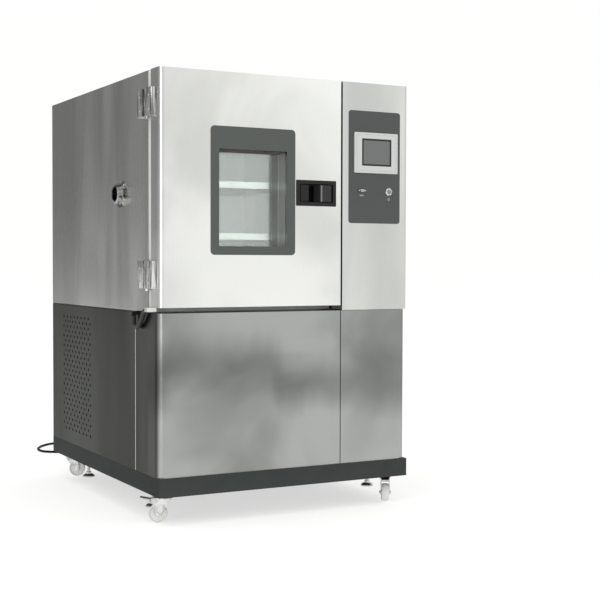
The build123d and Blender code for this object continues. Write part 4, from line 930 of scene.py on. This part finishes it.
# Mains cord
# A black rubber-sheathed lead, 2.62 m long, out of its gland at the back, down to the floor and
# round in a loose bend, with its spare length coiled behind the cabinet and its plug beside it.
rubber_sheath = moulded(
    "rubber_sheath", (0.004, 0.004, 0.004), (0.009, 0.009, 0.009), (0.5, 0.65), 700.0, 0.10,
    Specular_IOR_Level=0.12,
)
gland_plastic = moulded(
    "gland_plastic", (0.014, 0.014, 0.015), (0.026, 0.026, 0.027), (0.4, 0.5), 1000.0, 0.10
)
coat(gland_plastic, "mains_gland", "mains_plug")
sheath_radius = 0.00525
gland_height = 0.202
gland = Vector((-0.040, 0.5705, gland_height))
lying = sheath_radius + 0.00005 - gland_height
route = [
    gland + Vector(step)
    for step in (
        (0, 0.028, 0),
        (0, 0.078, 0),
        (0.012, 0.124, -0.048),
        (0.026, 0.152, -0.112),
        (0.044, 0.196, -0.168),
        (0.066, 0.262, lying),
        (0.092, 0.378, lying),
        (0.096, 0.500, lying),
        (0.066, 0.622, lying),
        (-0.004, 0.724, lying),
        (-0.092, 0.792, lying),
        (-0.190, 0.790, lying),
        (-0.262, 0.724, lying),
        (-0.302, 0.640, lying),
        (-0.298, 0.562, lying),
        (-0.240, 0.520, lying),
        (-0.176, 0.478, lying),
        (-0.140, 0.412, lying),
        (-0.128, 0.346, lying),
        (-0.132, 0.292, lying),
    )
]

# The coil's turns: how many are wound, with the radius and height there in millimetres.
coil_middle = Vector((-0.110, 0.800, 0))
winding = (
    (0, 64.6, 5.3),
    (1.0, 54.0, 5.3),
    (1.3, 50.4, 5.3),
    (1.45, 49.2, 9.5),
    (1.6, 49.6, 15.9),
    (2.5, 60.5, 15.9),
)
steps_per_turn = 16
for step in range(int(winding[-1][0] * steps_per_turn) + 1):
    wound = step / steps_per_turn
    for (start, radius_a, height_a), (stop, radius_b, height_b) in zip(winding, winding[1:]):
        if start <= wound <= stop:
            share = (wound - start) / (stop - start)
            radius = radius_a + (radius_b - radius_a) * share
            height = height_a + (height_b - height_a) * share
    angle = math.pi + 2 * math.pi * wound
    radius = radius / math.cos(math.pi / steps_per_turn)
    spot = Vector((math.cos(angle) * radius, math.sin(angle) * radius, height))
    route.append(coil_middle + spot / 1000)
route += [Vector((-0.0505, 0.832, 0.0158)), Vector((-0.051, 0.862, 0.0158))]


def smooth_line(name, points):
    """Curve of one open NURBS spline through a route's control points."""
    data = bpy.data.curves.new(name, "CURVE")
    data.dimensions = "3D"
    data.resolution_u = 8
    spline = data.splines.new("NURBS")
    spline.points.add(len(points) - 1)
    for spot, point in zip(spline.points, points):
        spot.co = (*point, 1)
    spline.order_u = 3
    spline.use_endpoint_u = True
    piece = bpy.data.objects.new(name, data)
    bpy.context.scene.collection.objects.link(piece)
    return piece


mains_lead = smooth_line("mains_lead", route)
mains_lead.data.bevel_depth = sheath_radius
mains_lead.data.bevel_resolution = 4
mains_lead.data.materials.append(rubber_sheath)
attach(mains_lead, "cabinet")
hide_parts("mains_cord", "mains_cord_coil")

# Door conduit
# A braided black sleeve that carries the door's wires past the hinge into the cabinet's deck.
# Its threads run round it in two directions, along a UV map that follows the sleeve.
braid, tree, shader = blank_material("braided_sleeve")
threads = node(tree, "ShaderNodeUVMap", uv_map="along")
crossing = node(tree, "ShaderNodeMath", operation="MAXIMUM")
for number, slope in enumerate((8.0, -8.0)):
    turned = node(tree, "ShaderNodeMapping", {"Scale": (2.6, slope, 1)})
    weave = node(
        tree, "ShaderNodeTexWave", {"Scale": 0.5}, wave_type="BANDS", bands_direction="DIAGONAL"
    )
    tree.links.new(threads.outputs["UV"], turned.inputs["Vector"])
    tree.links.new(turned.outputs["Vector"], weave.inputs["Vector"])
    tree.links.new(weave.outputs["Fac"], crossing.inputs[number])
weft = crossing.outputs["Value"]
thread_black = blend_colours(tree, weft, (0.006, 0.006, 0.006), (0.024, 0.024, 0.025))
dress(tree, shader, thread_black, spread_value(tree, weft, 0.7, 0.5))
raised(tree, shader, weft, 0.6, 0.0008)


def line_of(points, name):
    """Points along a smooth route, read from its curve without a bevel."""
    guide = smooth_line(name, points)
    bpy.context.view_layer.update()
    evaluated = guide.evaluated_get(bpy.context.evaluated_depsgraph_get())
    mesh = bpy.data.meshes.new_from_object(evaluated)
    line = [vertex.co.copy() for vertex in mesh.vertices]
    bpy.data.meshes.remove(mesh)
    bpy.data.objects.remove(guide)
    return line


def tube(name, line, radius, sides, material):
    """Closed tube along a line, with a UV map that runs along and round it."""
    ahead = [(b - a).normalized() for a, b in zip(line, line[1:])]
    tangents = [ahead[0]] + [(a + b).normalized() for a, b in zip(ahead, ahead[1:])] + [ahead[-1]]
    across = tangents[0].orthogonal().normalized()
    travelled = [0.0]
    for a, b in zip(line, line[1:]):
        travelled.append(travelled[-1] + (b - a).length)
    build = bmesh.new()
    uv = build.loops.layers.uv.new("along")
    rings = []
    for spot, tangent in zip(line, tangents):
        across = (across - across.dot(tangent) * tangent).normalized()
        other = tangent.cross(across)
        ring = []
        for side in range(sides):
            angle = 2 * math.pi * side / sides
            outward = math.cos(angle) * across + math.sin(angle) * other
            ring.append(build.verts.new(spot + radius * outward))
        rings.append(ring)
    for row, (near, far) in enumerate(zip(rings, rings[1:])):
        for side in range(sides):
            following = (side + 1) % sides
            face = build.faces.new((near[side], near[following], far[following], far[side]))
            face.smooth = True
            for loop, (step, turn) in zip(face.loops, ((0, 0), (0, 1), (1, 1), (1, 0))):
                loop[uv].uv = (travelled[row + step] * 100, (side + turn) / sides)
    build.faces.new(list(reversed(rings[0])))
    build.faces.new(rings[-1])
    bmesh.ops.recalc_face_normals(build, faces=build.faces)
    mesh = bpy.data.meshes.new(name)
    build.to_mesh(mesh)
    build.free()
    mesh.materials.append(material)
    piece = bpy.data.objects.new(name, mesh)
    bpy.context.scene.collection.objects.link(piece)
    return piece


conduit_points = [
    Vector((-0.4745, -0.5705 + depth, 0.693 + rise))
    for depth, rise in (
        (0.0722, 0.009),
        (0.100, 0.009),
        (0.126, -0.026),
        (0.160, -0.052),
        (0.192, -0.048),
        (0.200, -0.034),
        (0.200, -0.0112),
    )
]
conduit_line = line_of(conduit_points, "conduit_guide")
sleeve_radius = 0.008
conduit = tube("conduit_sleeve", conduit_line, sleeve_radius, 24, braid)
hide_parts("door_conduit")
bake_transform(conduit)
